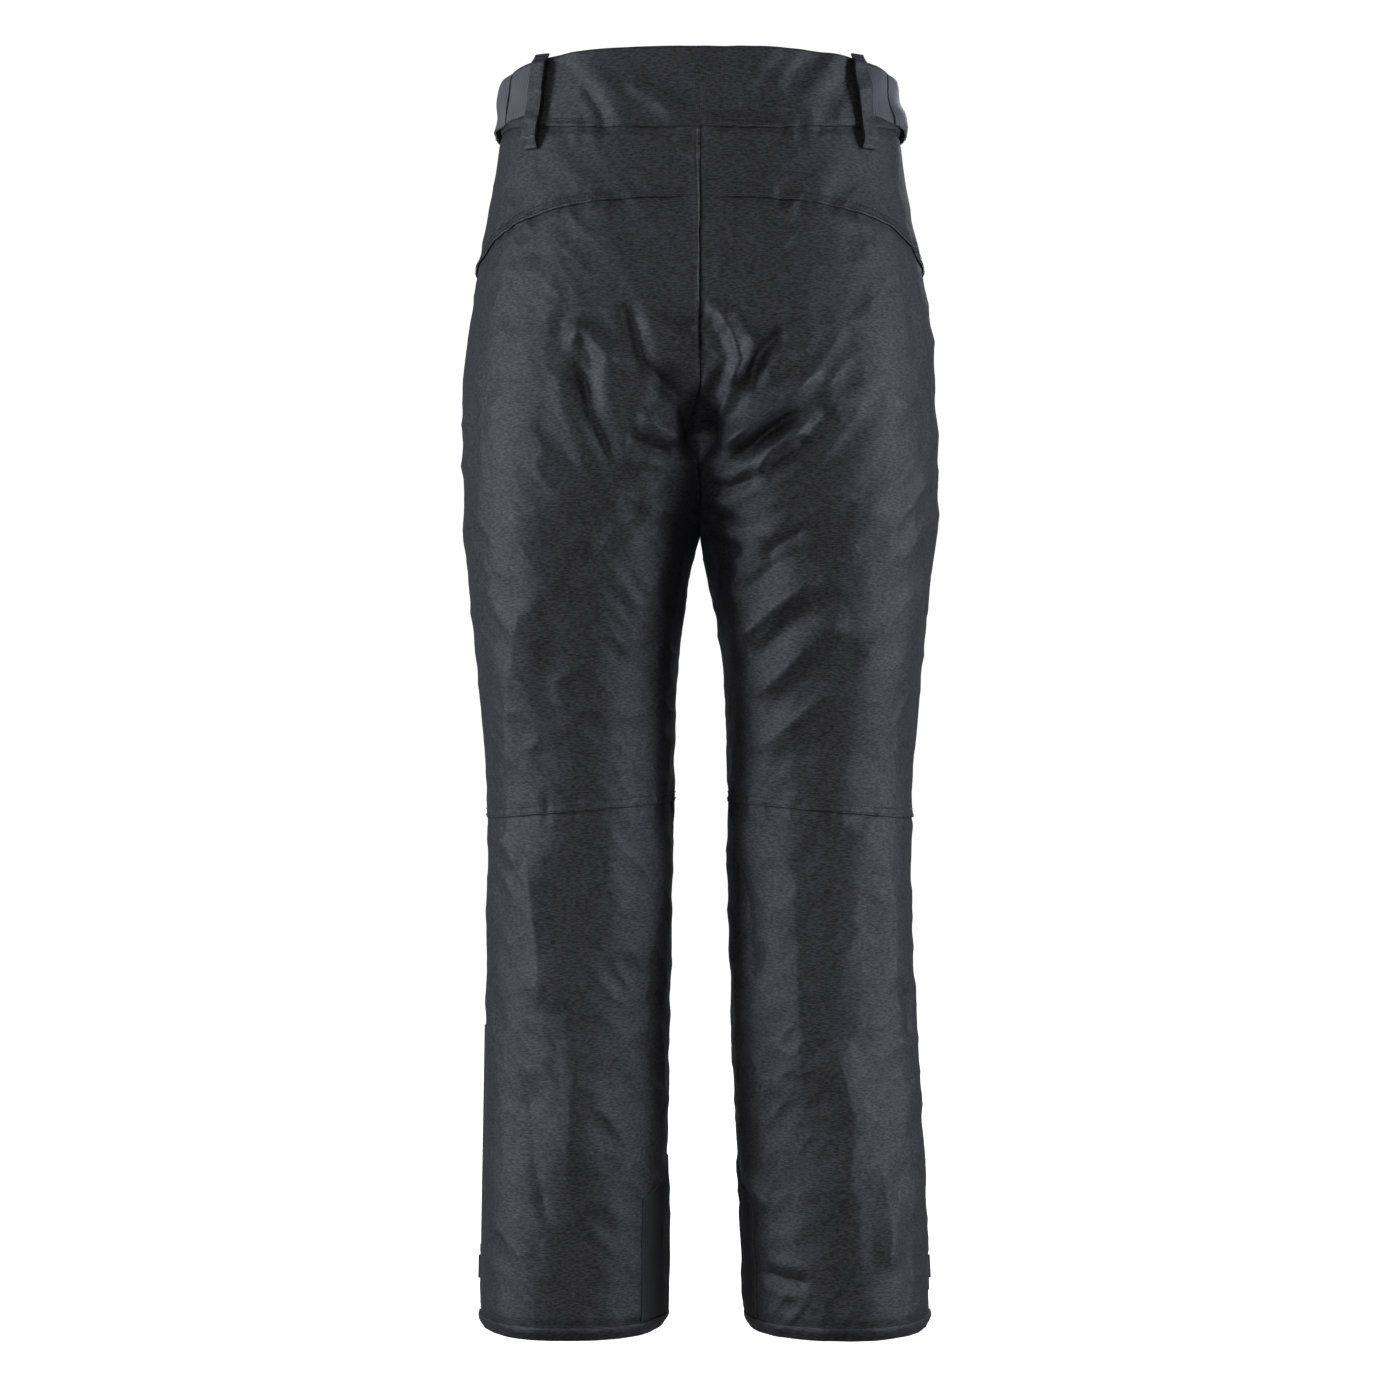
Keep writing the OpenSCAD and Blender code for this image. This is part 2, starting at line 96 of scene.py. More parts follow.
def body_surface(u, z, side):
    """A point u of the way round one half, from centre back (0) by the side to centre front (1)."""
    rise = np.clip(z / CROTCH, 0, 1)
    leg = np.maximum(0, (z - CROTCH) / (HEM - CROTCH))
    parting = np.clip((-z - PARTING_TOP) / (-CROTCH - PARTING_TOP), 0, 1) ** 1.6
    seat = mix(WAIST_HALF, HIP_HALF, np.sin(np.pi / 2 * np.minimum(1, rise / 0.83)) ** 1.15)
    thigh = mix(KNEE_HALF, HIP_HALF / 2, np.clip(1 - leg / KNEE_AT, 0, 1) ** 1.5)
    shin = mix(KNEE_HALF, HEM_HALF, (np.maximum(0, leg - KNEE_AT) / (1 - KNEE_AT)) ** 2)
    leg_half = np.where(leg < KNEE_AT, thigh, shin)
    gap = LEG_GAP * np.sin(np.pi / 2 * np.minimum(1, leg / 0.27)) + HEM_GAP * np.maximum(0, (leg - 0.4) / 0.6)
    above = z > CROTCH
    a = np.where(above, seat / (1 + parting), leg_half)
    c = np.where(above, seat * parting / (1 + parting), leg_half + gap)
    n = np.where(above, SEAT_SQUARENESS, mix(SEAT_SQUARENESS, LEG_SQUARENESS, np.minimum(1, leg * 4)))
    start = np.arccos(np.minimum(1, c / a) ** (n / 2))
    turn = start + u * (2 * np.pi - 2 * start)
    at = z / HEM
    back = np.interp(at, DEPTH_AT, DEPTH_BACK) / 1000
    front = np.interp(at, DEPTH_AT, DEPTH_FRONT) / 1000
    b = np.where(np.sin(turn) > 0, back, front)
    power = lambda v: np.sign(v) * np.abs(v) ** (2 / n)
    lean = -RIGHT_LEAN * smooth((-z - LEAN_FROM) / 0.32) * (side == RIGHT)
    return np.stack([side * (c - a * power(np.cos(turn))) + lean, b * power(np.sin(turn)), z + 0 * u], -1)


def body_normal(u, z, side):
    """Outward direction of the body surface."""
    du, dz = 0.004, 0.002
    u0, u1 = np.clip(u - du, 0, 1), np.clip(u + du, 0, 1)
    across = body_surface(u1, z, side) - body_surface(u0, z, side)
    down = body_surface(u, z - dz, side) - body_surface(u, z + dz, side)
    n = np.cross(across, down) * side
    return n / np.maximum(np.linalg.norm(n, axis=-1, keepdims=True), 1e-9)


LATTICE = np.random.RandomState(7).uniform(-1, 1, 4096)


def noise(points, size, seed):
    """Smooth noise from -1 to 1. size is the wave's length in metres, one number or one for each axis."""
    q = np.asarray(points) / np.asarray(size) + seed * 17.31
    cell = np.floor(q).astype(np.int64)
    f = q - cell
    f = f * f * f * (f * (f * 6 - 15) + 10)
    total = 0
    for corner in range(8):
        bit = np.array([corner & 1, corner >> 1 & 1, corner >> 2 & 1])
        k = cell + bit
        h = (k[..., 0] * 73856093 ^ k[..., 1] * 19349663 ^ k[..., 2] * 83492791) & 4095
        weight = np.prod(np.where(bit, f, 1 - f), -1)
        total = total + LATTICE[h] * weight
    return total


YOKE_AT_BACK = -0.112
YOKE_DROP = 0.060
WAIST_AT_SIDE = -0.045
WAIST_DROP = 0.010


def yoke_line(u):
    return YOKE_AT_BACK - YOKE_DROP * np.clip(u / SIDE_SEAM, 0, 1) ** 2.2


def waist_line(u):
    return WAIST_AT_SIDE - WAIST_DROP * np.cos(np.pi * u) ** 2


def knee_line(u):
    return KNEE_SEAM - KNEE_DIP * np.sin(np.pi * np.clip(u, 0, 1)) ** 2


# Folds that pull from the crotch, as an eye level with mid thigh sees them from behind: points
# across and up, in millimetres, then half width and height. A height below nothing is a valley.
EYE_DISTANCE = 3.0
EYE_HEIGHT = -0.516
FOLD_GAIN = 1.7
BACK_FOLDS = [
    ([(63, -180), (52, -212), (48, -233), (31, -247), (22, -257)], 7, -4.0),
    ([(46, -188), (16, -204), (0, -204)], 5, -2.0),
    ([(108, -224), (103, -206), (94, -208), (77, -227), (67, -241)], 7, 4.0),
    ([(108, -228), (99, -243), (93, -273), (82, -296), (71, -324)], 9, -5.0),
    ([(64, -296), (45, -303), (22, -312)], 6, -3.0),
    ([(52, -275), (35, -287), (14, -296)], 7, 3.0),
    ([(41, -248), (20, -260), (4, -290), (0, -318)], 16, -7.0),
    ([(-34, -240), (-20, -262), (-4, -292), (0, -318)], 13, -7.0),
    ([(-5, -183), (-16, -190), (-27, -206), (-36, -231), (-22, -262), (-8, -290)], 6, 5.0),
    ([(-72, -204), (-53, -220), (-43, -238), (-46, -262)], 8, -5.0),
    ([(-100, -238), (-78, -259), (-43, -286), (-18, -304)], 7, 5.5),
    ([(-78, -276), (-52, -295), (-25, -316)], 6, -4.0),
    ([(-92, -284), (-61, -305), (-46, -328)], 7, 4.0),
    ([(-3, -337), (-24, -339), (-48, -330)], 5, -2.5),
    ([(-2, -350), (-15, -363), (-32, -366)], 5, -2.5),
    ([(-6, -375), (-24, -390), (-37, -390)], 5, -2.5),
    ([(-52, -396), (-88, -371)], 7, -2.5),
    ([(-53, -326), (-72, -315), (-94, -296)], 6, -2.5),
    ([(-83, -305), (-111, -270)], 8, -2.5),
    ([(-40, -520), (-78, -485), (-125, -443)], 12, 3.0),
    ([(-30, -470), (-62, -440), (-104, -408)], 10, 3.2),
    ([(-46, -560), (-84, -530), (-118, -502)], 11, 2.2),
    ([(-32, -430), (-60, -404), (-96, -386)], 8, -2.0),
    ([(40, -352), (70, -372), (95, -410)], 10, -2.0),
    ([(30, -400), (52, -440), (62, -480)], 12, 1.6),
    ([(150, -430), (160, -520), (158, -590)], 14, 2.8),
    ([(146, -636), (138, -700), (132, -780)], 16, 3.5),
    ([(168, -628), (160, -640), (148, -655)], 6, 2.0),
    ([(-80, -650), (-84, -740), (-86, -860)], 24, 3.6),
    ([(-172, -756), (-178, -776), (-176, -800)], 5, -3.0),
    ([(-156, -640), (-164, -720), (-160, -770)], 9, 1.6),
    ([(30, -620), (34, -680), (44, -740)], 12, 2.6),
    ([(122, -720), (104, -812), (112, -930)], 24, 3.4),
    ([(148, -830), (140, -900), (128, -960)], 18, -3.0),
    ([(-112, -800), (-128, -870), (-120, -950)], 20, 3.0),
    ([(-150, -900), (-160, -950), (-158, -1000)], 8, 2.2),
    ([(-50, -995), (-72, -1002), (-92, -1006)], 6, -2.8),
    ([(-38, -910), (-48, -930), (-58, -942)], 6, 2.0),
    ([(0, -22), (-38, -19), (-75, -25)], 9, -2.2),
    ([(62, 2), (40, -14), (14, -30)], 9, 2.0),
    ([(-52, 4), (-84, -16), (-104, -36)], 10, 2.0),
    ([(98, 0), (84, -22), (78, -44)], 8, -1.6),
    ([(-30, -640), (-40, -690), (-42, -760)], 12, -2.4),
]
# The same for the front, for one half: they pull from the crotch and gather over the knee.
FRONT_FOLDS = [
    ([(6, -300), (34, -282), (78, -240)], 9, 4.0),
    ([(8, -325), (44, -312), (96, -278)], 8, -3.5),
    ([(8, -345), (50, -338), (110, -318)], 9, 4.0),
    ([(10, -366), (54, -368), (120, -362)], 9, -3.0),
    ([(20, -400), (70, -418), (130, -430)], 11, 2.6),
    ([(30, -560), (90, -580), (160, -566)], 10, 2.4),
    ([(30, -602), (90, -618), (165, -606)], 9, -2.4),
    ([(32, -642), (96, -652), (165, -640)], 10, 2.4),
    ([(36, -690), (100, -704), (160, -690)], 12, 1.8),
    ([(40, -800), (100, -820), (150, -860)], 16, 1.6),
]
# Where the zips lie: share of the way round, lowest and highest point, height off the surface
HEM_ZIP = (0.56, -1.014, -0.790, 0.0016)
POCKET_ZIP = (0.64, -0.222, -0.072, 0.0042)
FLY_ZIP = (1.0, -0.206, -0.060, 0.0034)
ZIPS = (HEM_ZIP, POCKET_ZIP, FLY_ZIP)
ZIP_FLAT = 0.018


def fold_height(across, up, folds):
    """The summed height of folds at points of the plane that they are drawn on."""
    total = np.zeros(across.shape)
    for path, half_width, height in folds:
        path = np.array(path) / 1000
        nearest = np.full(across.shape, 9.0)
        along = np.zeros(across.shape)
        lengths = np.linalg.norm(np.diff(path, axis=0), axis=1)
        run = 0
        for p, q, length in zip(path[:-1], path[1:], lengths):
            t = np.clip(((across - p[0]) * (q[0] - p[0]) + (up - p[1]) * (q[1] - p[1])) / length**2, 0, 1)
            gap = np.hypot(across - p[0] - t * (q[0] - p[0]), up - p[1] - t * (q[1] - p[1]))
            closer = gap < nearest
            nearest = np.where(closer, gap, nearest)
            along = np.where(closer, (run + t * length) / lengths.sum(), along)
            run += length
        w = half_width / 1000
        taper = smooth(np.minimum(along, 1 - along) * 4 + 0.15)
        crest = np.exp(-((nearest / w) ** 1.08)) - 0.3 * np.exp(-(((nearest - 2 * w) / w) ** 2))
        total += FOLD_GAIN * height / 1000 * taper * crest
    return total


def zip_ends(at, z_low, z_high, stand_off, side):
    """The low and high end of a straight zip."""
    ends = []
    for z in (z_low, z_high):
        u, z = np.array(at), np.array(z)
        p = body_surface(u, z, side) + body_normal(u, z, side) * stand_off
        if at == 1.0:
            p[0] = 0
        ends.append(p)
    return ends


def line_at(distance, half_width):
    """1 on a line, falling away on both sides of it."""
    return np.exp(-((distance / half_width) ** 2))


def allowance(distance, near, far):
    """1 where the turned-in layers beside a seam lie, and 0 elsewhere."""
    return smooth((far - distance) / 0.001) * smooth((distance - near) / 0.001)


def relief(base, normal, u, z, side):
    """How far the cloth stands out from the body surface: folds, soft waves and seam puckers."""
    scale = EYE_DISTANCE / (EYE_DISTANCE - base[..., 1])
    across = base[..., 0] * scale
    up = EYE_HEIGHT + (base[..., 2] - EYE_HEIGHT) * scale
    faces_back = smooth(normal[..., 1] * 3)
    faces_front = smooth(-normal[..., 1] * 3)
    h = faces_back * fold_height(across, up, BACK_FOLDS)
    h += faces_front * fold_height(side * base[..., 0], base[..., 2], FRONT_FOLDS)
    below_band = smooth((-z - 0.06) / 0.06)
    on_band = smooth((z - waist_line(u)) / 0.006)
    h += below_band * 0.0024 * noise(base, (0.06, 0.06, 0.16), 1)
    slanted = base @ np.array([[0.8, 0, 0.6 * side], [0, 1, 0], [-0.6 * side, 0, 0.8]])
    busy = smooth(1 - np.abs(base[..., 2] + 0.34) / 0.20) * 0.8 + 0.3
    h += below_band * (busy + 0.1) * 0.0014 * noise(slanted, (0.03, 0.05, 0.09), 2)
    h += below_band * (busy + 0.2) * 0.0019 * (0.3 - np.abs(noise(slanted, (0.022, 0.06, 0.075), 8)))
    h += (0.3 + below_band) * 0.0013 * (0.3 - np.abs(noise(slanted[..., ::-1], (0.03, 0.03, 0.016), 5)))
    h += below_band * 0.0003 * noise(base, 0.012, 3)
    h += (on_band + 0.3 * (1 - below_band)) * 0.0020 * noise(slanted, (0.016, 0.04, 0.045), 11)
    side_seam = (u - SIDE_SEAM) * HALF_ROUND
    h -= (1 - on_band) * 0.0013 * line_at(side_seam, 0.0013)
    h += (1 - on_band) * 0.0007 * allowance(side_seam, 0.001, 0.006)
    below_crotch = smooth((CROTCH - z) / 0.01)
    inseam = below_crotch * np.minimum(u, 1 - u) * HALF_ROUND
    h -= 0.0010 * line_at(inseam, 0.0013) * below_crotch
    puckers = 0.0011 * noise(base, (0.008, 0.008, 0.05), 4)
    h += puckers * line_at(z - waist_line(u), 0.013)
    h += (u < SIDE_SEAM) * puckers * line_at(z - yoke_line(u), 0.013)
    h += 1.3 * puckers * line_at(z - knee_line(u), 0.013)
    centre = np.minimum(u, 1 - u) * 2 * CLOTH_ROUND
    above = smooth((z - CROTCH) / 0.02) * (1 - on_band)
    h += above * 0.0010 * noise(base, (0.03, 0.03, 0.011), 6) * line_at(centre, 0.012)
    h -= above * 0.0013 * line_at(centre, 0.0012)
    h += above * 0.0009 * allowance(centre, 0.0012, 0.0065) * (side == LEFT)
    for at, z_low, z_high, stand_off in ZIPS:
        past = np.maximum(0, np.maximum(z_low - z, z - z_high))
        flat = np.exp(-((np.hypot((u - at) * CLOTH_ROUND, past) / ZIP_FLAT) ** 4))
        low, high = zip_ends(at, z_low, z_high, stand_off, side)
        share = np.clip((z - z_low) / (z_high - z_low), 0, 1)[..., None]
        spot = mix(low, high, share)
        under = body_surface(np.full(z.shape, at), spot[..., 2], side)
        rise = ((spot - under) * body_normal(np.full(z.shape, at), spot[..., 2], side)).sum(-1)
        h = mix(h, rise - 0.0002, flat)
    return h


def place(side, u, z, out=0.0):
    """Points on the cloth, out metres further than its own surface, and their outward directions."""
    u, z = np.broadcast_arrays(np.asarray(u, float), np.asarray(z, float))
    base = body_surface(u, z, side)
    normal = body_normal(u, z, side)
    p = base + normal * (relief(base, normal, u, z, side) + out)[..., None]
    p[..., 0] = side * np.maximum(side * p[..., 0], 0)
    in_seam = ((u < 1e-4) | (u > 1 - 1e-4)) & (z > CROTCH)
    p[..., 0] = np.where(in_seam, 0, p[..., 0])
    return p, normal


def graded(length, cell):
    """Shares of the way across a panel: close together at its two edges, then even."""
    edge = np.array([0, 0.6, 1.2, 2, 3, 4.5, 6.5, 9]) / 1000
    inner = np.linspace(edge[-1], length - edge[-1], max(2, int(length / cell)))[1:-1]
    return np.concatenate([edge, inner, length - edge[::-1]]) / length


def cloth_mesh(name, outer, normal, thickness, side, closed=False, spread=None):
    """A closed sheet from the grid of its outer face. spread is each point's place on the flat cloth."""
    grid = np.concatenate([outer, outer[:1]]) if closed else outer
    across, down = np.diff(grid, axis=0), np.diff(grid, axis=1)
    across, down = np.linalg.norm(across, axis=-1).sum(0).max(), np.linalg.norm(down, axis=-1).sum(1).max()
    nu, nz = outer.shape[0], outer.shape[1]
    inner = outer - normal * thickness
    points = np.concatenate([outer.reshape(-1, 3), inner.reshape(-1, 3)])
    layer = nu * nz
    i = np.arange(nu if closed else nu - 1)[:, None] * nz
    k = (np.arange(nu if closed else nu - 1)[:, None] + 1) % nu * nz
    j = np.arange(nz - 1)[None, :]
    quad = np.stack([i + j, k + j, k + j + 1, i + j + 1], -1).reshape(-1, 4)
    under = quad[:, ::-1] + layer
    rims = []
    for a, b in ((i[:, 0], k[:, 0]), (k[:, 0] + nz - 1, i[:, 0] + nz - 1)):
        rims.append(np.stack([b, a, a + layer, b + layer], -1))
    if not closed:
        for a, b in ((j[0] + 1, j[0]), ((nu - 1) * nz + j[0], (nu - 1) * nz + j[0] + 1)):
            rims.append(np.stack([b, a, a + layer, b + layer], -1))
    faces = np.concatenate([quad, under] + rims)
    if side == RIGHT:
        faces = faces[:, ::-1]
    mesh = bpy.data.meshes.new(name)
    mesh.from_pydata(points.tolist(), [], faces.tolist())
    mesh.polygons.foreach_set("use_smooth", np.ones(len(faces), bool))
    rim_start = 2 * len(quad)
    if spread is None:
        spread = np.zeros((nu, nz, 2))
    layer_uv = mesh.uv_layers.new(name="cloth")
    corners = np.zeros(len(mesh.loops), np.int32)
    mesh.loops.foreach_get("vertex_index", corners)
    flat = np.concatenate([spread.reshape(-1, 2)] * 2)
    layer_uv.data.foreach_set("uv", flat[corners].ravel().astype(np.float32))
    sharp = np.zeros(len(mesh.edges), bool)
    ends = np.zeros(len(mesh.edges) * 2, np.int32)
    mesh.edges.foreach_get("vertices", ends)
    rim_edges = {tuple(sorted(e)) for f in faces[rim_start:] for e in ((f[0], f[1]), (f[2], f[3]))}
    for n, (a, b) in enumerate(ends.reshape(-1, 2)):
        sharp[n] = (min(a, b), max(a, b)) in rim_edges
    mesh.attributes.new("sharp_edge", "BOOLEAN", "EDGE").data.foreach_set("value", sharp)
    mesh.validate()
    obj = bpy.data.objects.new(name, mesh)
    bpy.context.scene.collection.objects.link(obj)
    return obj


def laid_flat(u, z):
    """Where each point lies on the flat cloth."""
    return np.stack([u * CLOTH_ROUND, z], -1)


TUCK = 0.004
LAP = 0.008


def panel(name, side, u0, u1, top, bottom, top_lap, bottom_lap):
    """Cloth between two seam lines on one half.

    A lap above nothing lies over its neighbour, and one below nothing tucks under it.
    """
    middle = np.array((u0 + u1) / 2)
    tall = float(top(middle) - bottom(middle))
    a = graded(HALF_ROUND * (u1 - u0), CELL)
    b = graded(tall, CELL)
    u = np.broadcast_to(mix(u0, u1, a)[:, None], (len(a), len(b)))
    z = mix(top(u) + TUCK * (top_lap < 0), bottom(u) - TUCK * (bottom_lap < 0), b[None, :])
    near = smooth(1 - u / 0.1) + smooth(1 - (1 - u) / 0.1)
    over = z - CROTCH
    z = np.where((over > 0) & (over < 0.05), mix(z, CROTCH + over**2 / 0.05, near), z)
    lift = top_lap * smooth(1 - (top(u) - z) / LAP) + bottom_lap * smooth(1 - (z - bottom(u)) / LAP)
    lift = lift * smooth(np.minimum(u - u0, u1 - u) / 0.03)
    rim = np.minimum(b, 1 - b)[None, :] * tall
    turn = np.sqrt(1 - np.clip(1 - rim / (CLOTH * 0.6), 0, 1) ** 2)
    turn = np.maximum(turn, 0.25)
    p, n = place(side, u, z, lift - (1 - turn) * CLOTH / 2)
    thickness = (CLOTH * turn)[..., None] + 0 * n[..., :1]
    return cloth_mesh(name, p, n, thickness, side, spread=laid_flat(u * side, z))


def shell_fabric():
    """Plain woven polyester: dark yarns with a satin shine, a fine rib and a slightly crinkled face."""
    m = bpy.data.materials.new("shell_fabric")
    m.use_nodes = True
    t = m.node_tree
    shader = t.nodes["Principled BSDF"]
    shader.inputs["Sheen Weight"].default_value = 0.05
    shader.inputs["Sheen Roughness"].default_value = 0.45
    shader.inputs["Sheen Tint"].default_value = (0.62, 0.64, 0.80, 1)
    cloth = t.nodes.new("ShaderNodeUVMap")
    cloth.uv_map = "cloth"
    where = t.nodes.new("ShaderNodeTexCoord")
    ribs = t.nodes.new("ShaderNodeTexWave")
    ribs.wave_type = "BANDS"
    ribs.bands_direction = "Y"
    ribs.inputs["Scale"].default_value = 330
    ribs.inputs["Distortion"].default_value = 1.2
    ribs.inputs["Detail Scale"].default_value = 3
    warp = t.nodes.new("ShaderNodeTexWave")
    warp.wave_type = "BANDS"
    warp.bands_direction = "X"
    warp.inputs["Scale"].default_value = 460
    warp.inputs["Distortion"].default_value = 0.8
    slub = t.nodes.new("ShaderNodeTexNoise")
    slub.inputs["Scale"].default_value = 760
    slub.inputs["Detail"].default_value = 3
    cloud = t.nodes.new("ShaderNodeTexNoise")
    cloud.inputs["Scale"].default_value = 9
    cloud.inputs["Detail"].default_value = 4
    crinkle = t.nodes.new("ShaderNodeTexNoise")
    crinkle.inputs["Scale"].default_value = 130
    crinkle.inputs["Detail"].default_value = 5
    t.links.new(cloth.outputs["UV"], ribs.inputs["Vector"])
    t.links.new(cloth.outputs["UV"], warp.inputs["Vector"])
    stretch = t.nodes.new("ShaderNodeMapping")
    stretch.inputs["Scale"].default_value = (0.35, 0.35, 1.25)
    for node in (cloud, crinkle, stretch):
        t.links.new(where.outputs["Object"], node.inputs["Vector"])
    t.links.new(stretch.outputs["Vector"], slub.inputs["Vector"])
    weave = t.nodes.new("ShaderNodeMath")
    weave.operation = "ADD"
    t.links.new(ribs.outputs["Fac"], weave.inputs[0])
    t.links.new(warp.outputs["Fac"], weave.inputs[1])
    grain = t.nodes.new("ShaderNodeMath")
    grain.operation = "ADD"
    t.links.new(weave.outputs[0], grain.inputs[0])
    t.links.new(slub.outputs["Fac"], grain.inputs[1])
    shade = t.nodes.new("ShaderNodeMapRange")
    shade.inputs["From Min"].default_value = 0.36
    shade.inputs["From Max"].default_value = 0.64
    t.links.new(slub.outputs["Fac"], shade.inputs["Value"])
    yarn = t.nodes.new("ShaderNodeMix")
    yarn.data_type = "RGBA"
    yarn.inputs["A"].default_value = (0.0070, 0.0067, 0.0083, 1)
    yarn.inputs["B"].default_value = (0.020, 0.0193, 0.0243, 1)
    t.links.new(shade.outputs[0], yarn.inputs["Factor"])
    shine = t.nodes.new("ShaderNodeMapRange")
    shine.inputs["To Min"].default_value = 0.32
    shine.inputs["To Max"].default_value = 0.58
    t.links.new(shade.outputs[0], shine.inputs["Value"])
    t.links.new(shine.outputs[0], shader.inputs["Specular IOR Level"])
    worn = t.nodes.new("ShaderNodeMix")
    worn.data_type = "RGBA"
    worn.blend_type = "MULTIPLY"
    worn.inputs["Factor"].default_value = 0.5
    t.links.new(yarn.outputs["Result"], worn.inputs["A"])
    tone = t.nodes.new("ShaderNodeMapRange")
    tone.inputs["To Min"].default_value = 0.7
    tone.inputs["To Max"].default_value = 1.3
    t.links.new(cloud.outputs["Fac"], tone.inputs["Value"])
    t.links.new(tone.outputs[0], worn.inputs["B"])
    t.links.new(worn.outputs["Result"], shader.inputs["Base Color"])
    gloss = t.nodes.new("ShaderNodeMapRange")
    gloss.inputs["To Min"].default_value = 0.48
    gloss.inputs["To Max"].default_value = 0.60
    t.links.new(cloud.outputs["Fac"], gloss.inputs["Value"])
    t.links.new(gloss.outputs[0], shader.inputs["Roughness"])
    fine = t.nodes.new("ShaderNodeBump")
    fine.inputs["Strength"].default_value = 0.28
    fine.inputs["Distance"].default_value = 0.0003
    t.links.new(grain.outputs[0], fine.inputs["Height"])
    coarse = t.nodes.new("ShaderNodeBump")
    coarse.inputs["Strength"].default_value = 0.3
    coarse.inputs["Distance"].default_value = 0.0005
    t.links.new(crinkle.outputs["Fac"], coarse.inputs["Height"])
    t.links.new(coarse.outputs["Normal"], fine.inputs["Normal"])
    t.links.new(fine.outputs["Normal"], shader.inputs["Normal"])
    return m


SHELL = shell_fabric()


def finish(piece, material):
    piece.data.materials.append(material)
    return piece


def bend_at_hip(piece, side):
    """Bakes the piece's placement into its mesh; the cloth is not bent here."""
    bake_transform(piece)


def bend_at_knee(piece, side):
    """Bakes the piece's placement into its mesh; the cloth is not bent here."""
    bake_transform(piece)


STITCH = 0.0032
THREAD_HALF = 0.00035
SIDES = 5


def thread(name, side, u, z, out, stitch=STITCH):
    """Topstitching along a line: one short, round-backed stitch after another."""
    p, n = place(side, u, z, out)
    run = np.concatenate([[0], np.cumsum(np.linalg.norm(np.diff(p, axis=0), axis=1))])
    starts = np.arange(0, run[-1] - stitch, stitch)
    verts, faces = [], []
    for s in starts:
        ends = []
        for f in (0.08, 0.5, 0.92):
            ends.append(np.array([np.interp(s + f * stitch, run, p[:, axis]) for axis in range(3)]))
        up = np.array([np.interp(s + 0.5 * stitch, run, n[:, axis]) for axis in range(3)])
        along = ends[2] - ends[0]
        along /= max(np.linalg.norm(along), 1e-9)
        across = np.cross(up, along)
        first = len(verts)
        for centre, grow in zip(ends, (0.45, 1, 0.45)):
            for turn in range(SIDES):
                angle = turn * 2 * np.pi / SIDES
                ring = across * np.cos(angle) + up * np.sin(angle)
                verts.append(centre + ring * THREAD_HALF * grow + up * (THREAD_HALF * 0.4 * (grow - 0.6)))
        for ring in (0, 1):
            for turn in range(SIDES):
                a = first + ring * SIDES + turn
                b = first + ring * SIDES + (turn + 1) % SIDES
                faces.append((a, b, b + SIDES, a + SIDES))
        faces.append(tuple(first + SIDES - 1 - turn for turn in range(SIDES)))
        faces.append(tuple(first + 2 * SIDES + turn for turn in range(SIDES)))
    mesh = bpy.data.meshes.new(name)
    mesh.from_pydata([tuple(v) for v in verts], [], faces)
    mesh.polygons.foreach_set("use_smooth", np.ones(len(faces), bool))
    obj = bpy.data.objects.new(name, mesh)
    bpy.context.scene.collection.objects.link(obj)
    return obj


def plain(name, colour, roughness, sheen=0.1, grain_size=1200, bump=0.2):
    """A dyed finish with a fine grain: thread, webbing and moulded plastic."""
    m = bpy.data.materials.new(name)
    m.use_nodes = True
    t = m.node_tree
    shader = t.nodes["Principled BSDF"]
    shader.inputs["Sheen Weight"].default_value = sheen
    where = t.nodes.new("ShaderNodeTexCoord")
    grain = t.nodes.new("ShaderNodeTexNoise")
    grain.inputs["Scale"].default_value = grain_size
    grain.inputs["Detail"].default_value = 3
    t.links.new(where.outputs["Object"], grain.inputs["Vector"])
    tint = t.nodes.new("ShaderNodeMix")
    tint.data_type = "RGBA"
    tint.inputs["A"].default_value = (*[c * 0.7 for c in colour], 1)
    tint.inputs["B"].default_value = (*[c * 1.3 for c in colour], 1)
    t.links.new(grain.outputs["Fac"], tint.inputs["Factor"])
    t.links.new(tint.outputs["Result"], shader.inputs["Base Color"])
    gloss = t.nodes.new("ShaderNodeMapRange")
    gloss.inputs["To Min"].default_value = roughness - 0.07
    gloss.inputs["To Max"].default_value = roughness + 0.07
    t.links.new(grain.outputs["Fac"], gloss.inputs["Value"])
    t.links.new(gloss.outputs[0], shader.inputs["Roughness"])
    rough = t.nodes.new("ShaderNodeBump")
    rough.inputs["Strength"].default_value = bump
    rough.inputs["Distance"].default_value = 0.0003
    t.links.new(grain.outputs["Fac"], rough.inputs["Height"])
    t.links.new(rough.outputs["Normal"], shader.inputs["Normal"])
    return m


THREAD = plain("sewing_thread", (0.014, 0.014, 0.016), 0.5)

for side in (LEFT, RIGHT):
    name = NAMES[side]
    piece = panel(name + "_seat_and_back_thigh", side, 0, SIDE_SEAM, yoke_line, knee_line, -0.0011, 0.0007)
    finish(piece, SHELL)
    bend_at_hip(piece, side)
    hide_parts(name + "_seat_panel", name + "_back_thigh", name + "_hip_fold")

# ==== Yokes ===========================================================================
# The curved pieces between the waistband and the seat. Their lower edge is turned in and
# laid over the seat panel, then stitched twice.

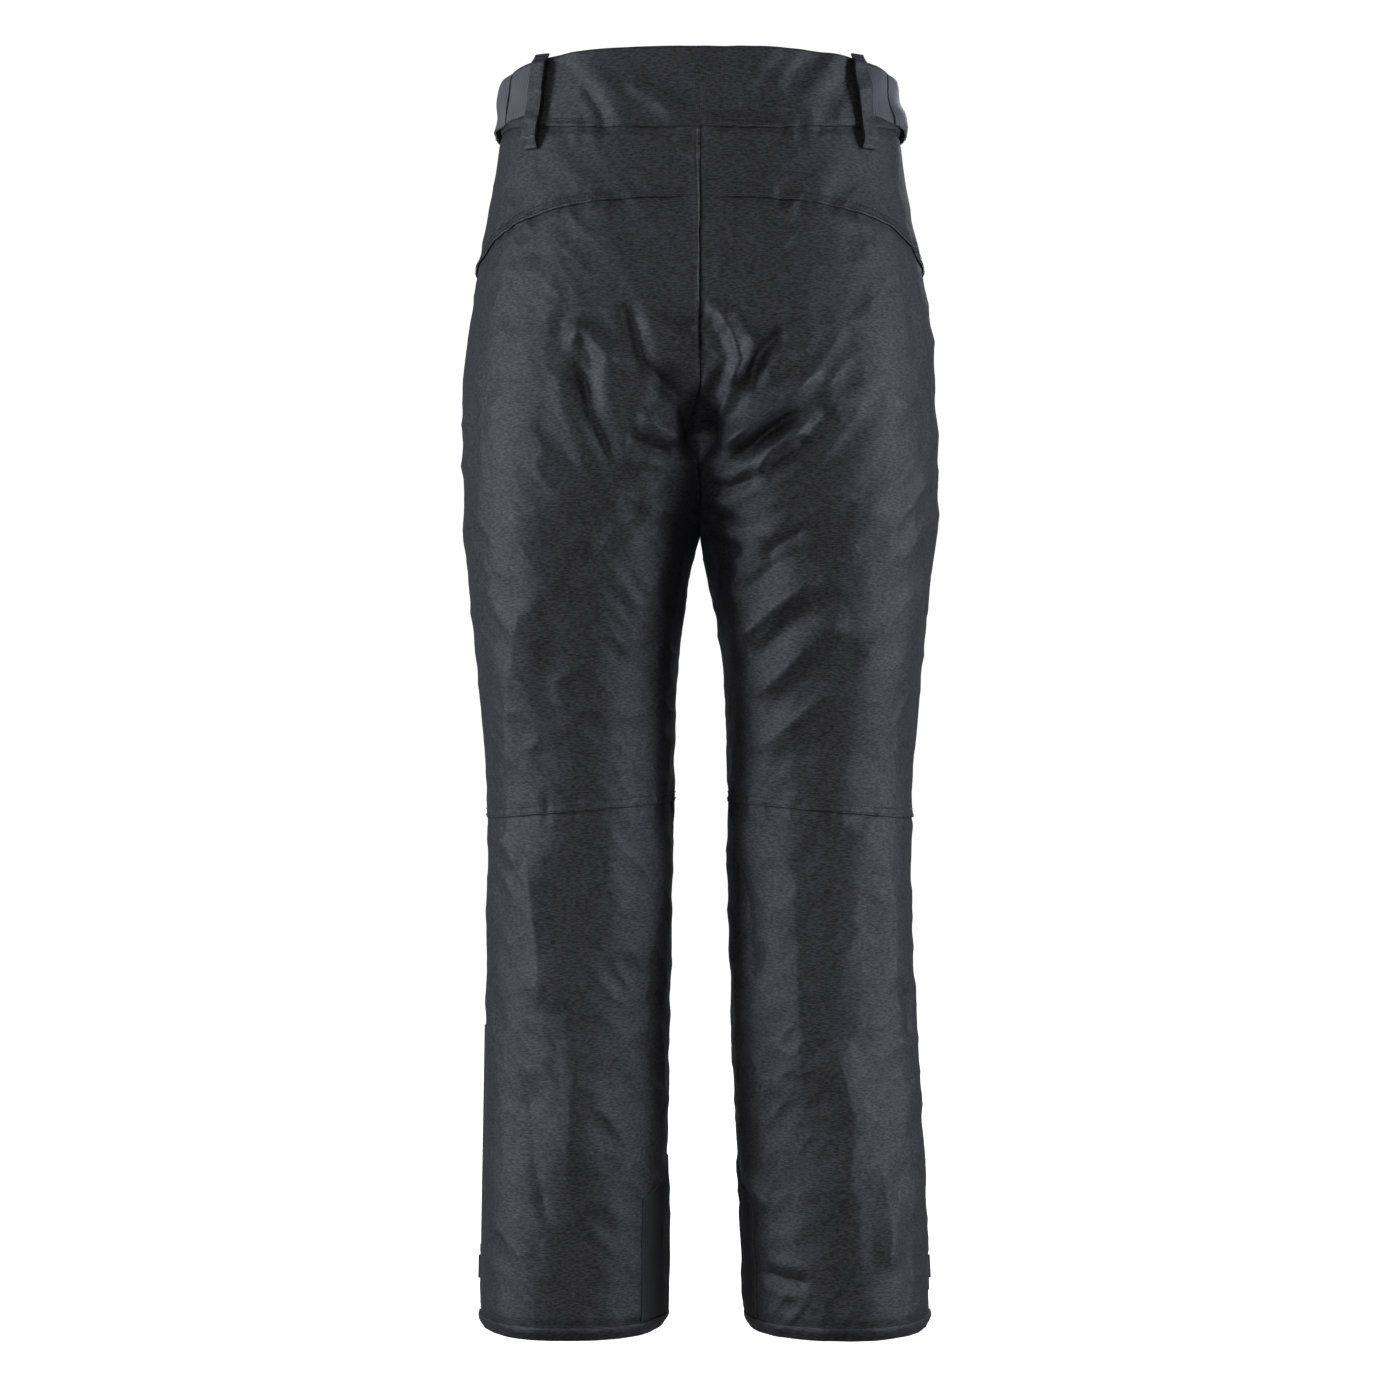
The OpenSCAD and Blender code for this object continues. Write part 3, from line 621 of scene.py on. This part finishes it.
for side in (LEFT, RIGHT):
    name = NAMES[side]
    piece = panel(name + "_yoke", side, 0, SIDE_SEAM, waist_line, yoke_line, -0.0012, 0.0009)
    finish(piece, SHELL)
    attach(piece, "hips")
    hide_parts(name + "_back_yoke")
    line = np.linspace(0.004, SIDE_SEAM - 0.03, 260)
    for row, (up, out) in enumerate(((0.002, 0.0011), (0.0075, 0.0005))):
        stitches = thread(f"{name}_yoke_stitching_{row}", side, line, yoke_line(line) + up, out)
        finish(stitches, THREAD)
        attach(stitches, "hips")

# ==== Front panels and thighs =========================================================
# One piece for each half from the front waistband to the knee seam, joined to the back at
# the side seam and to its twin at centre front.

for side in (LEFT, RIGHT):
    name = NAMES[side]
    piece = panel(name + "_front_and_thigh", side, SIDE_SEAM, 1, waist_line, knee_line, -0.0012, 0.0007)
    finish(piece, SHELL)
    bend_at_hip(piece, side)
    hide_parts(name + "_front_panel", name + "_front_thigh")

# ==== Calves and shins ================================================================
# Below the knee seam each leg is a back piece and a front piece, cut straight to the hem.

HEM_BAND = 0.011


def hem_line(u):
    return HEM + HEM_BAND + 0 * u


for side in (LEFT, RIGHT):
    name = NAMES[side]
    for label, u0, u1, node in (("calf", 0, SIDE_SEAM, "_back_calf"), ("shin", SIDE_SEAM, 1, "_front_shin")):
        piece = panel(f"{name}_{label}", side, u0, u1, knee_line, hem_line, -0.0011, -0.0012)
        finish(piece, SHELL)
        bend_at_knee(piece, side)
        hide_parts(name + node, *([name + "_knee_fold"] if label == "calf" else []))
    line = np.linspace(0.004, 0.996, 420)
    for row, (up, out) in enumerate(((0.0022, 0.0008), (0.0072, 0.0005))):
        stitches = thread(f"{name}_knee_stitching_{row}", side, line, knee_line(line) + up, out)
        finish(stitches, THREAD)
        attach(stitches, name + "_thigh")

# ==== Hem bands =======================================================================
# A narrow turned-up band of the same cloth round each ankle, stitched near its top edge.

for side in (LEFT, RIGHT):
    name = NAMES[side]
    around = np.linspace(0, 1, 170, endpoint=False)
    drop = np.array([0, 0.5, 1.2, 2.2, 4, 6, 8, 9.6, 10.6, 11]) / 1000
    u, z = np.meshgrid(around, HEM + HEM_BAND - drop, indexing="ij")
    fat = np.sqrt(1 - np.clip(np.abs(2 * drop / HEM_BAND - 1) ** 4, 0, 0.9))
    rumple = 0.0007 * noise(np.stack([u * 40, u * 0, z * 90], -1), 1.0, 9)
    turned_in = 0.0035 * smooth(drop / HEM_BAND) ** 2
    p, n = place(side, u, z, 0.0004 + 0.0008 * fat + rumple - turned_in)
    spread = np.stack([u * 0.5, z], -1)
    band = cloth_mesh(name + "_hem_band_cloth", p, n, 0.003, side, closed=True, spread=spread)
    finish(band, SHELL)
    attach(band, name + "_shank")
    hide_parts(name + "_hem_band")
    stitches = thread(name + "_hem_stitching", side, np.linspace(0.001, 0.999, 400), HEM + 0.0125, 0.0004)
    finish(stitches, THREAD)
    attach(stitches, name + "_shank")

# ==== Kick patches ====================================================================
# Dull, tougher cloth sewn over the inside of each ankle, where ski edges strike. The
# upper corners are cut off slanting, and one upright row of stitching runs near its back edge.

TOUGH = plain("tough_cloth", (0.011, 0.011, 0.012), 0.72, 0.0, 700, 0.5)
PATCH_FRONT = 0.13
PATCH_BACK = {LEFT: 0.12, RIGHT: 0.08}
PATCH_TALL = 0.13
PATCH_FOOT = HEM + 0.012
PATCH_CORNER = 0.030

for side in (LEFT, RIGHT):
    name = NAMES[side]
    u_back = PATCH_BACK[side]
    a = graded((PATCH_FRONT + u_back) * 0.5, CELL)
    b = graded(PATCH_TALL, CELL)
    around = mix(-PATCH_FRONT, u_back, a)[:, None] + 0 * b[None, :]
    top = PATCH_FOOT + PATCH_TALL - PATCH_CORNER * np.abs(2 * a - 1)[:, None]
    z = mix(top, PATCH_FOOT, b[None, :])
    edge = np.minimum(np.minimum(a, 1 - a)[:, None] * 0.12, np.minimum(b, 1 - b)[None, :] * PATCH_TALL)
    p, n = place(side, around % 1.0, z, 0.0008 * smooth(edge / 0.0015) + 0.0004)
    patch = cloth_mesh(name + "_kick_patch_cloth", p, n, 0.001, side, spread=np.stack([around * 0.5, z], -1))
    finish(patch, TOUGH)
    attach(patch, name + "_shank")
    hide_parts(name + "_kick_patch")
    upright = np.linspace(HEM + 0.014, HEM + 0.110, 60)
    stitches = thread(name + "_kick_patch_stitching", side, np.full(60, u_back - 0.007), upright, 0.0014)
    finish(stitches, THREAD)
    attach(stitches, name + "_shank")

# ==== Wadding and lining ==============================================================
# Quilted wadding faced with a slippery lining, hung inside the shell and caught at the
# waist. It shows at the waist opening and inside the hems.

LINING = plain("lining", (0.030, 0.030, 0.034), 0.45, 0.2, 500, 0.3)
LINING_TOP = -0.050
LINING_JOIN = KNEE_SEAM - 0.016
LINING_FOOT = HEM + 0.030
WADDING = 0.0062
QUILT = 0.06

for side in (LEFT, RIGHT):
    name = NAMES[side]
    for part, top, bottom, bend, held_by, nodes in (
        ("upper", LINING_TOP, KNEE_SEAM, bend_at_hip, "back_band", (name + "_thigh_lining", "hip_lining")),
        ("lower", LINING_JOIN, LINING_FOOT, bend_at_knee, name + "_upper_lining", (name + "_shin_lining",)),
    ):
        a, b = np.meshgrid(np.linspace(0, 1, 90), np.linspace(0, 1, 70), indexing="ij")
        z = mix(top, bottom, b)
        clear = 0.006 + 0.05 * line_at(z - CROTCH - 0.02, 0.09)
        u = mix(clear, 1 - clear, a)
        quilt = 0.0010 * np.abs(np.sin(np.pi * z / QUILT))
        p, normal = place(side, u, z, -WADDING - quilt)
        p[..., 0] = side * np.maximum(side * p[..., 0], 0.001)
        lining = cloth_mesh(f"{name}_{part}_lining", p, normal, 0.0018, side, spread=np.stack([u, z], -1))
        finish(lining, LINING)
        bend(lining, side)
        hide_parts(*nodes)

# ==== Waistband =======================================================================
# A folded double band: one piece round the back, two at the front. Topstitching just
# above its lower seam gathers it into small puckers.

def waist_edge(u):
    return 0.012 * np.cos(np.pi * u)


def wrap(s, z, out):
    """Points on the cloth by turns from centre back: 0 to 1 round the left, then back along the right."""
    s = s % 2
    u = np.where(s > 1, 2 - s, s)
    left, left_out = place(LEFT, u, z, out)
    right, right_out = place(RIGHT, u, z, out)
    pick = (s <= 1)[..., None]
    return np.where(pick, left, right), np.where(pick, left_out, right_out)


def round_band(name, s0, s1, top, bottom, out, thickness, ends=0.0):
    """A strip that wraps round the waist, with turned-in edges and its two ends cut round."""
    wide = abs(s1 - s0) * CLOTH_ROUND
    a = graded(wide, CELL)
    b = graded(float(top(np.array(0.3)) - bottom(np.array(0.3))), CELL)
    s = np.broadcast_to(mix(s0, s1, a)[:, None], (len(a), len(b)))
    cut = ends * (1 - smooth(np.minimum(a, 1 - a)[:, None] * wide / max(ends, 0.001)))
    z = mix(top(s) - cut, bottom(s) + cut, b[None, :])
    rim = np.minimum(b, 1 - b)[None, :] * 0.05
    turn = np.maximum(0.3, np.sqrt(1 - np.clip(1 - rim / (thickness * 0.6), 0, 1) ** 2))
    p, n = wrap(s, z, out - (1 - turn) * thickness / 2)
    spread = laid_flat(s, z)
    return cloth_mesh(name, p, n, (thickness * turn)[..., None] + 0 * n[..., :1], LEFT, spread=spread)


def waist_top(s):
    return waist_edge(1 - np.abs(1 - s % 2))


def waist_bottom(s):
    return waist_line(1 - np.abs(1 - s % 2)) + 0.0003


BAND_OUT = 0.0015
BAND_THICK = 0.0036
BANDS = (
    ("back_band", -0.5, 0.5, "waistband_back"),
    ("left_front_band", 0.5005, 0.992, "left_waistband_front"),
    ("right_front_band", 1.008, 1.4995, "right_waistband_front"),
)
for name, s0, s1, node in BANDS:
    piece = round_band(name, s0, s1, waist_top, waist_bottom, BAND_OUT, BAND_THICK)
    finish(piece, SHELL)
    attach(piece, "hips")
    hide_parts(node)
for side in (LEFT, RIGHT):
    for label, u0, u1 in (("back", 0.002, 0.5), ("front", 0.502, 0.99)):
        line = np.linspace(u0, u1, 260)
        for row, up in enumerate((0.0028, 0.0068)):
            row_name = f"{NAMES[side]}_{label}_band_stitching_{row}"
            stitches = thread(row_name, side, line, waist_line(line) + up, BAND_OUT + 0.0002)
            finish(stitches, THREAD)
            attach(stitches, "hips")

# ==== Belt loops ======================================================================
# Folded strips of shell cloth, sewn down at the top edge and below the waist seam with a
# bar of stitches, and standing off the band between them.

LOOP_HALF = 0.018
LOOP_HEAD = 0.003
LOOP_FOOT = -0.068
LOOP_OUT = 0.0031
LOOP_ROOM = 0.0052
BAR_HALF = 0.015

for side in (LEFT, RIGHT):
    for label, middle in (("back", 0.28), ("front", 0.74)):
        a = np.linspace(0, 1, 15)
        b = np.concatenate([np.linspace(0, 0.06, 6), np.linspace(0.08, 0.92, 50), np.linspace(0.94, 1, 6)])
        u = np.broadcast_to((middle + (a - 0.5) * 2 * LOOP_HALF)[:, None], (len(a), len(b)))
        top = LOOP_HEAD + float(waist_edge(np.array(middle)))
        z = np.broadcast_to(mix(top, LOOP_FOOT, b)[None, :], u.shape)
        rise = smooth(np.minimum(b, 1 - b) * 9)[None, :]
        lapped = 0.0010 * smooth((0.42 - b) / 0.015)[None, :]
        edge = smooth(np.minimum(a, 1 - a) * 9)[:, None]
        slack = 0.0012 * noise(np.stack([u * 30, u * 0, z * 28], -1), 1.0, 12)
        p, n = place(side, u, z, LOOP_OUT + LOOP_ROOM * rise + lapped + slack * rise + 0.0006 * edge)
        loop = cloth_mesh(f"{NAMES[side]}_{label}_belt_loop", p, n, 0.0020, side, spread=laid_flat(u, z))
        finish(loop, SHELL)
        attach(loop, "hips")
        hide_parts(label + "_belt_loops")
        for row, at in enumerate((-0.0655, -0.0625)):
            line = np.linspace(middle - BAR_HALF, middle + BAR_HALF, 20)
            bar = thread(f"{NAMES[side]}_{label}_loop_bar_{row}", side, line, at, 0.0042, STITCH / 2)
            finish(bar, THREAD)
            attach(bar, "hips")

# ==== Side adjusters ==================================================================
# A ribbed strap from behind each back loop, whose free end wraps round the side and
# grips a hook pad. Pulling it forward tightens the waist.

RIBBED = plain("ribbed_strap", (0.050, 0.050, 0.060), 0.5, 0.15, 900, 0.3)
tree = RIBBED.node_tree
along = tree.nodes.new("ShaderNodeUVMap")
along.uv_map = "cloth"
cords = tree.nodes.new("ShaderNodeTexWave")
cords.bands_direction = "X"
cords.inputs["Scale"].default_value = 110
cords.inputs["Distortion"].default_value = 0.4
ridge = tree.nodes.new("ShaderNodeBump")
ridge.inputs["Strength"].default_value = 0.9
ridge.inputs["Distance"].default_value = 0.0007
tree.links.new(along.outputs["UV"], cords.inputs["Vector"])
tree.links.new(cords.outputs["Fac"], ridge.inputs["Height"])
tree.links.new(ridge.outputs["Normal"], tree.nodes["Principled BSDF"].inputs["Normal"])


STRAP_WIDE = 0.042
STRAP_ROOT = 0.302
STRAP_END = 0.66
POINT_LONG = 0.03
POINT_CUT = 0.008


def strap_piece(name, side, u0, u1, stand_off, pointed):
    """A length of strap along one half, slanting down to the front, with its corners cut off if pointed."""
    a = np.linspace(0, 1, max(12, int((u1 - u0) * 300)))
    b = np.linspace(0, 1, 30)
    u = np.broadcast_to(mix(u0, u1, a)[:, None], (len(a), len(b)))
    end = pointed * smooth((u - (u1 - POINT_LONG)) / POINT_LONG) * POINT_CUT
    top = mix(0.004, -0.009, (u - STRAP_ROOT) / (STRAP_END - STRAP_ROOT))
    z = mix(top - end, top - STRAP_WIDE + end, b[None, :])
    edge = smooth(np.minimum(b, 1 - b) * 12)[None, :]
    p, n = place(side, u, z, stand_off(u) - 0.0005 * (1 - edge))
    piece = cloth_mesh(name, p, n, 0.0015, side, spread=laid_flat(u, z))
    return finish(piece, RIBBED)


def anchor_lie(u):
    return 0.0034 + 0 * u


def strap_bow(u):
    """The strap stands off the band in the middle of its run, and lies on the hook pad at its end."""
    bow = 0.0042 * np.sin(np.pi * np.clip((u - 0.40) / 0.22, 0, 1))
    return 0.0036 + bow + 0.0012 * smooth((u - 0.5) / 0.1)


for side in (LEFT, RIGHT):
    name = NAMES[side]
    anchor = strap_piece(name + "_adjuster_anchor", side, 0.303, 0.393, anchor_lie, False)
    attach(anchor, "hips")
    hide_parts("adjuster_anchors")
    tab = strap_piece(name + "_adjuster_strap", side, 0.401, 0.659, strap_bow, True)
    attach(tab, name + "_adjuster")
    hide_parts(name + "_adjuster_tab")

# ==== Hook pads and hanger loops ======================================================
# Two hook-faced pads under the strap ends, and two ribbon loops inside the waist.

HOOKS = plain("hook_pad", (0.010, 0.010, 0.011), 0.8, 0.3, 420, 1.0)
HANGER_TOP = 0.002
HANGER_FOOT = -0.038

for side in (LEFT, RIGHT):
    name = NAMES[side]
    u, z = np.meshgrid(np.linspace(0.57, 0.68, 30), np.linspace(-0.006, -0.036, 14), indexing="ij")
    p, n = place(side, u, z, 0.0024)
    pad = cloth_mesh(name + "_hook_pad", p, n, 0.0008, side, spread=laid_flat(u, z))
    finish(pad, HOOKS)
    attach(pad, "hips")
    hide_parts("adjuster_pads")
    u, z = np.meshgrid(np.linspace(0.44, 0.46, 8), np.linspace(HANGER_TOP, HANGER_FOOT, 30), indexing="ij")
    arch = smooth(4 * np.minimum(HANGER_TOP - z, z - HANGER_FOOT) / (HANGER_TOP - HANGER_FOOT))
    p, n = place(side, u, z, -0.0026 - 0.006 * arch)
    ribbon = cloth_mesh(name + "_hanger_loop", p, n, 0.001, side, spread=laid_flat(u, z))
    finish(ribbon, RIBBED)
    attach(ribbon, "hips")
    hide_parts("hanger_loops")

# ==== Zips ============================================================================
# Moulded coil zips on woven tape: one at the fly, one at each slanting front pocket and
# one at the outside of each hem. A lip of shell cloth is folded back along both sides.

COIL = plain("zip_coil", (0.012, 0.012, 0.013), 0.35, 0.0, 900, 0.1)
TAPE = plain("zip_tape", (0.014, 0.014, 0.016), 0.7, 0.2, 1500, 0.5)


TOOTH_PITCH = 0.0016
TOOTH_CORNERS = (
    (-1, -1, -1), (1, -1, -1), (1, 1, -1), (-1, 1, -1),
    (-0.7, -0.7, 1), (0.7, -0.7, 1), (0.7, 0.7, 1), (-0.7, 0.7, 1),
)
TOOTH_FACES = ((0, 3, 2, 1), (4, 5, 6, 7), (0, 1, 5, 4), (1, 2, 6, 5), (2, 3, 7, 6), (3, 0, 4, 7))
LIP_WIDE = 0.006
LIP_MIDDLE = 0.0072


def strip(name, corners, across, out, wide, thick):
    """A flat strip along a straight line, from its low to its high corner."""
    run = np.linspace(0, 1, 60)[None, :, None]
    over = np.array([-0.5, -0.42, -0.2, 0.2, 0.42, 0.5])[:, None, None]
    body = corners[0] + (corners[1] - corners[0]) * (1 - run) + across * wide * over
    rounding = (1 - np.abs(2 * over) ** 6) * thick * 0.5
    return cloth_mesh(name, body + out * rounding, np.broadcast_to(out, body.shape), thick, LEFT)


def zip_fastener(name, side, line, out, tape_wide, rides, node):
    """Tape, coil and two lips along a straight line, sewn to a piece of the shell."""
    low, high = zip_ends(*line, side)
    length = np.linalg.norm(high - low)
    up = (high - low) / length
    out = np.array(out) / np.linalg.norm(out)
    out = out - up * (out @ up)
    out /= np.linalg.norm(out)
    across = np.cross(out, up)
    tape = strip(name + "_tape", (low + out * 0.0005, high + out * 0.0005), across, out, tape_wide, 0.0005)
    finish(tape, TAPE)
    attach(tape, rides)
    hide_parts(node)
    verts, faces = [], []
    for k in range(int((length - 0.008) / TOOTH_PITCH)):
        for hand in (-1, 1):
            along = 0.004 + TOOTH_PITCH * k + 0.0004 * hand
            middle = low + up * along + across * hand * 0.0011 + out * 0.0012
            first = len(verts)
            for du, dv, dw in TOOTH_CORNERS:
                verts.append(tuple(middle + across * du * 0.0016 + up * dv * 0.0006 + out * dw * 0.0008))
            for face in TOOTH_FACES:
                faces.append(tuple(first + corner for corner in face))
    mesh = bpy.data.meshes.new(name + "_coil")
    mesh.from_pydata(verts, [], faces)
    coil = bpy.data.objects.new(name + "_coil", mesh)
    bpy.context.scene.collection.objects.link(coil)
    finish(coil, COIL)
    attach(coil, rides)
    for label, hand in (("fore", -1), ("aft", 1)):
        edge = across * hand * LIP_MIDDLE + out * 0.0009
        folded = strip(f"{name}_{label}_lip", (low + edge, high + edge), across, out, LIP_WIDE, CLOTH)
        finish(folded, SHELL)
        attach(folded, rides)


zip_fastener("fly_zip", LEFT, FLY_ZIP, (0, -1, 0), 0.022, "hips", "fly_zip")
for side in (LEFT, RIGHT):
    name = NAMES[side]
    zip_fastener(
        name + "_pocket_zip", side, POCKET_ZIP, (side * 0.78, -0.62, 0.05), 0.012,
        "hips", "pocket_zips",
    )
    zip_fastener(
        name + "_hem_zip", side, HEM_ZIP, (side * 0.93, -0.37, 0), 0.014,
        name + "_shank", name + "_hem_zip",
    )

# The sliders, pulls and snaps are dark moulded metal and keep their own shapes.
METAL = plain("dark_metal", (0.035, 0.035, 0.038), 0.38, 0.0, 300, 0.05)
METAL.node_tree.nodes["Principled BSDF"].inputs["Metallic"].default_value = 0.6
for node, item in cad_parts.items():
    if node.endswith(("_slider", "_pull")) or node.startswith("snap_"):
        for holder in item.material_slots:
            holder.material = METAL

# ==== Pockets, fly guard and waist tab ================================================
# Flat pocket bags hang behind the front panels, and a guard lies behind the fly zip. The
# waistband's overlap closes over the left front with two snaps.

for side in (LEFT, RIGHT):
    name = NAMES[side]
    bag_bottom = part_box("pocket_bags")[0].z
    u, z = np.meshgrid(np.linspace(0.60, 0.82, 30), np.linspace(-0.074, bag_bottom, 30), indexing="ij")
    at, outward = place(side, u, z, -0.0040)
    bag = cloth_mesh(name + "_pocket_bag", at, outward, 0.0008, side, spread=laid_flat(u, z))
    finish(bag, LINING)
    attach(bag, "hips")
    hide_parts("pocket_bags")


def guard_top(s):
    return -0.058 + 0 * s


def guard_bottom(s):
    return -0.214 + 0 * s


guard = round_band("fly_guard_cloth", 0.93, 1.07, guard_top, guard_bottom, -0.0100, 0.0012, 0.006)
finish(guard, LINING)
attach(guard, "hips")
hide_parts("fly_guard")


def tab_top(s):
    return waist_top(s) - 0.001


def tab_bottom(s):
    return waist_bottom(s) + 0.0015


tab = round_band("waist_overlap", 0.912, 1.083, tab_top, tab_bottom, 0.0076, 0.0022, 0.012)
finish(tab, SHELL)
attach(tab, "waist_tab")
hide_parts("waist_tab")

# ==== Gaiters =========================================================================
# Thin nylon cuffs inside each hem. Elastic gathers their lower edge round the boot.

NYLON = plain("gaiter_nylon", (0.018, 0.018, 0.021), 0.42, 0.1, 800, 0.3)
GAITER_TOP = HEM + 0.178
GAITER_FOOT = HEM + 0.026
GATHERS = 46

for side in (LEFT, RIGHT):
    name = NAMES[side]
    around = np.linspace(0, 1, 240, endpoint=False)
    b = np.concatenate([np.linspace(0, 0.84, 40), np.linspace(0.86, 1, 16)])
    u, share = np.meshgrid(around, b, indexing="ij")
    z = mix(GAITER_TOP, GAITER_FOOT, share)
    at, outward = body_surface(u, z, side), body_normal(u, z, side)
    uneven = 1.5 * noise(np.stack([u * 9, z * 20, u * 0], -1), 1.0, 14)
    gathers = 0.0016 * np.sin(2 * np.pi * GATHERS * u + uneven)
    elastic = smooth((share - 0.83) / 0.02)
    inset = 0.0100 + 0.013 * smooth(share) - gathers * smooth(share * 1.6) * (1 - 0.45 * elastic)
    p = at - outward * inset[..., None]
    spread = np.stack([u * 0.4, z], -1)
    cuff = cloth_mesh(name + "_gaiter_cloth", p, outward, 0.0009, side, closed=True, spread=spread)
    finish(cuff, NYLON)
    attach(cuff, name + "_shank")
    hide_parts(name + "_gaiter")

# ==== Studio ==========================================================================
# A pale floor and backdrop. Tall soft boxes at both sides give the long edge highlights, and
# weaker lights fill the back and the front.

SENSOR = 36
VIEW_WIDE = 1.1725
LOOK_AT = Vector((0, 0, -0.5))


def pale_finish(name, shade, roughness, glow):
    """A plain stage surface that also gives off a little light of its own."""
    m = bpy.data.materials.new(name)
    m.use_nodes = True
    shader = m.node_tree.nodes["Principled BSDF"]
    shader.inputs["Base Color"].default_value = (shade, shade, shade, 1)
    shader.inputs["Roughness"].default_value = roughness
    shader.inputs["Emission Color"].default_value = (1, 1, 1, 1)
    shader.inputs["Emission Strength"].default_value = glow
    return m


scene = bpy.context.scene
scene.view_settings.view_transform = "Standard"
camera = bpy.data.objects.new("camera", bpy.data.cameras.new("camera"))
scene.collection.objects.link(camera)
camera.location = (0, EYE_DISTANCE, EYE_HEIGHT)
camera.rotation_euler = (math.pi / 2, 0, math.pi)
camera.data.lens = SENSOR * EYE_DISTANCE / VIEW_WIDE
camera.data.sensor_width = SENSOR
scene.camera = camera

world = bpy.data.worlds.new("studio")
world.use_nodes = True
world.node_tree.nodes["Background"].inputs["Color"].default_value = (0.97, 0.98, 1, 1)
world.node_tree.nodes["Background"].inputs["Strength"].default_value = 0.16
scene.world = world

bpy.ops.mesh.primitive_plane_add(size=12, location=(0, 0, HEM - 0.03))
floor = bpy.context.object
floor.name = "floor"
floor.data.materials.append(pale_finish("pale_floor", 0.9, 0.8, 0.93))
floor.visible_diffuse = False
floor.visible_glossy = False

bpy.ops.mesh.primitive_uv_sphere_add(radius=6.5, segments=64, ring_count=32, location=(0, 0, EYE_HEIGHT))
backdrop = bpy.context.object
backdrop.name = "backdrop"
backdrop.data.materials.append(pale_finish("white_backdrop", 0, 0.5, 1.02))
for ray in ("visible_diffuse", "visible_glossy", "visible_transmission", "visible_shadow"):
    setattr(backdrop, ray, False)

for label, place_at, size, power in (
    ("left_soft_box", (1.9, 0.5, -0.38), (0.6, 2.2), 47),
    ("right_soft_box", (-1.9, 0.5, -0.38), (0.6, 2.2), 45),
    ("key", (0.7, 1.9, 1.3), (0.7, 0.7), 8),
    ("strip", (0.60, 2.6, -0.45), (0.7, 1.7), 7),
    ("far_strip", (-1.2, 2.4, -0.45), (0.5, 1.7), 3),
    ("low_fill", (0.5, 2.4, -1.0), (1.2, 0.6), 3),
    ("front_light", (-0.5, -2.4, 0.9), (1.2, 1.2), 30),
):
    light = bpy.data.objects.new(label, bpy.data.lights.new(label, "AREA"))
    light.data.shape = "RECTANGLE"
    light.data.size, light.data.size_y = size
    light.data.energy = power
    light.data.color = (0.86, 0.88, 1.0)
    light.location = place_at
    light.rotation_euler = (LOOK_AT - light.location).to_track_quat("-Z", "Y").to_euler()
    scene.collection.objects.link(light)
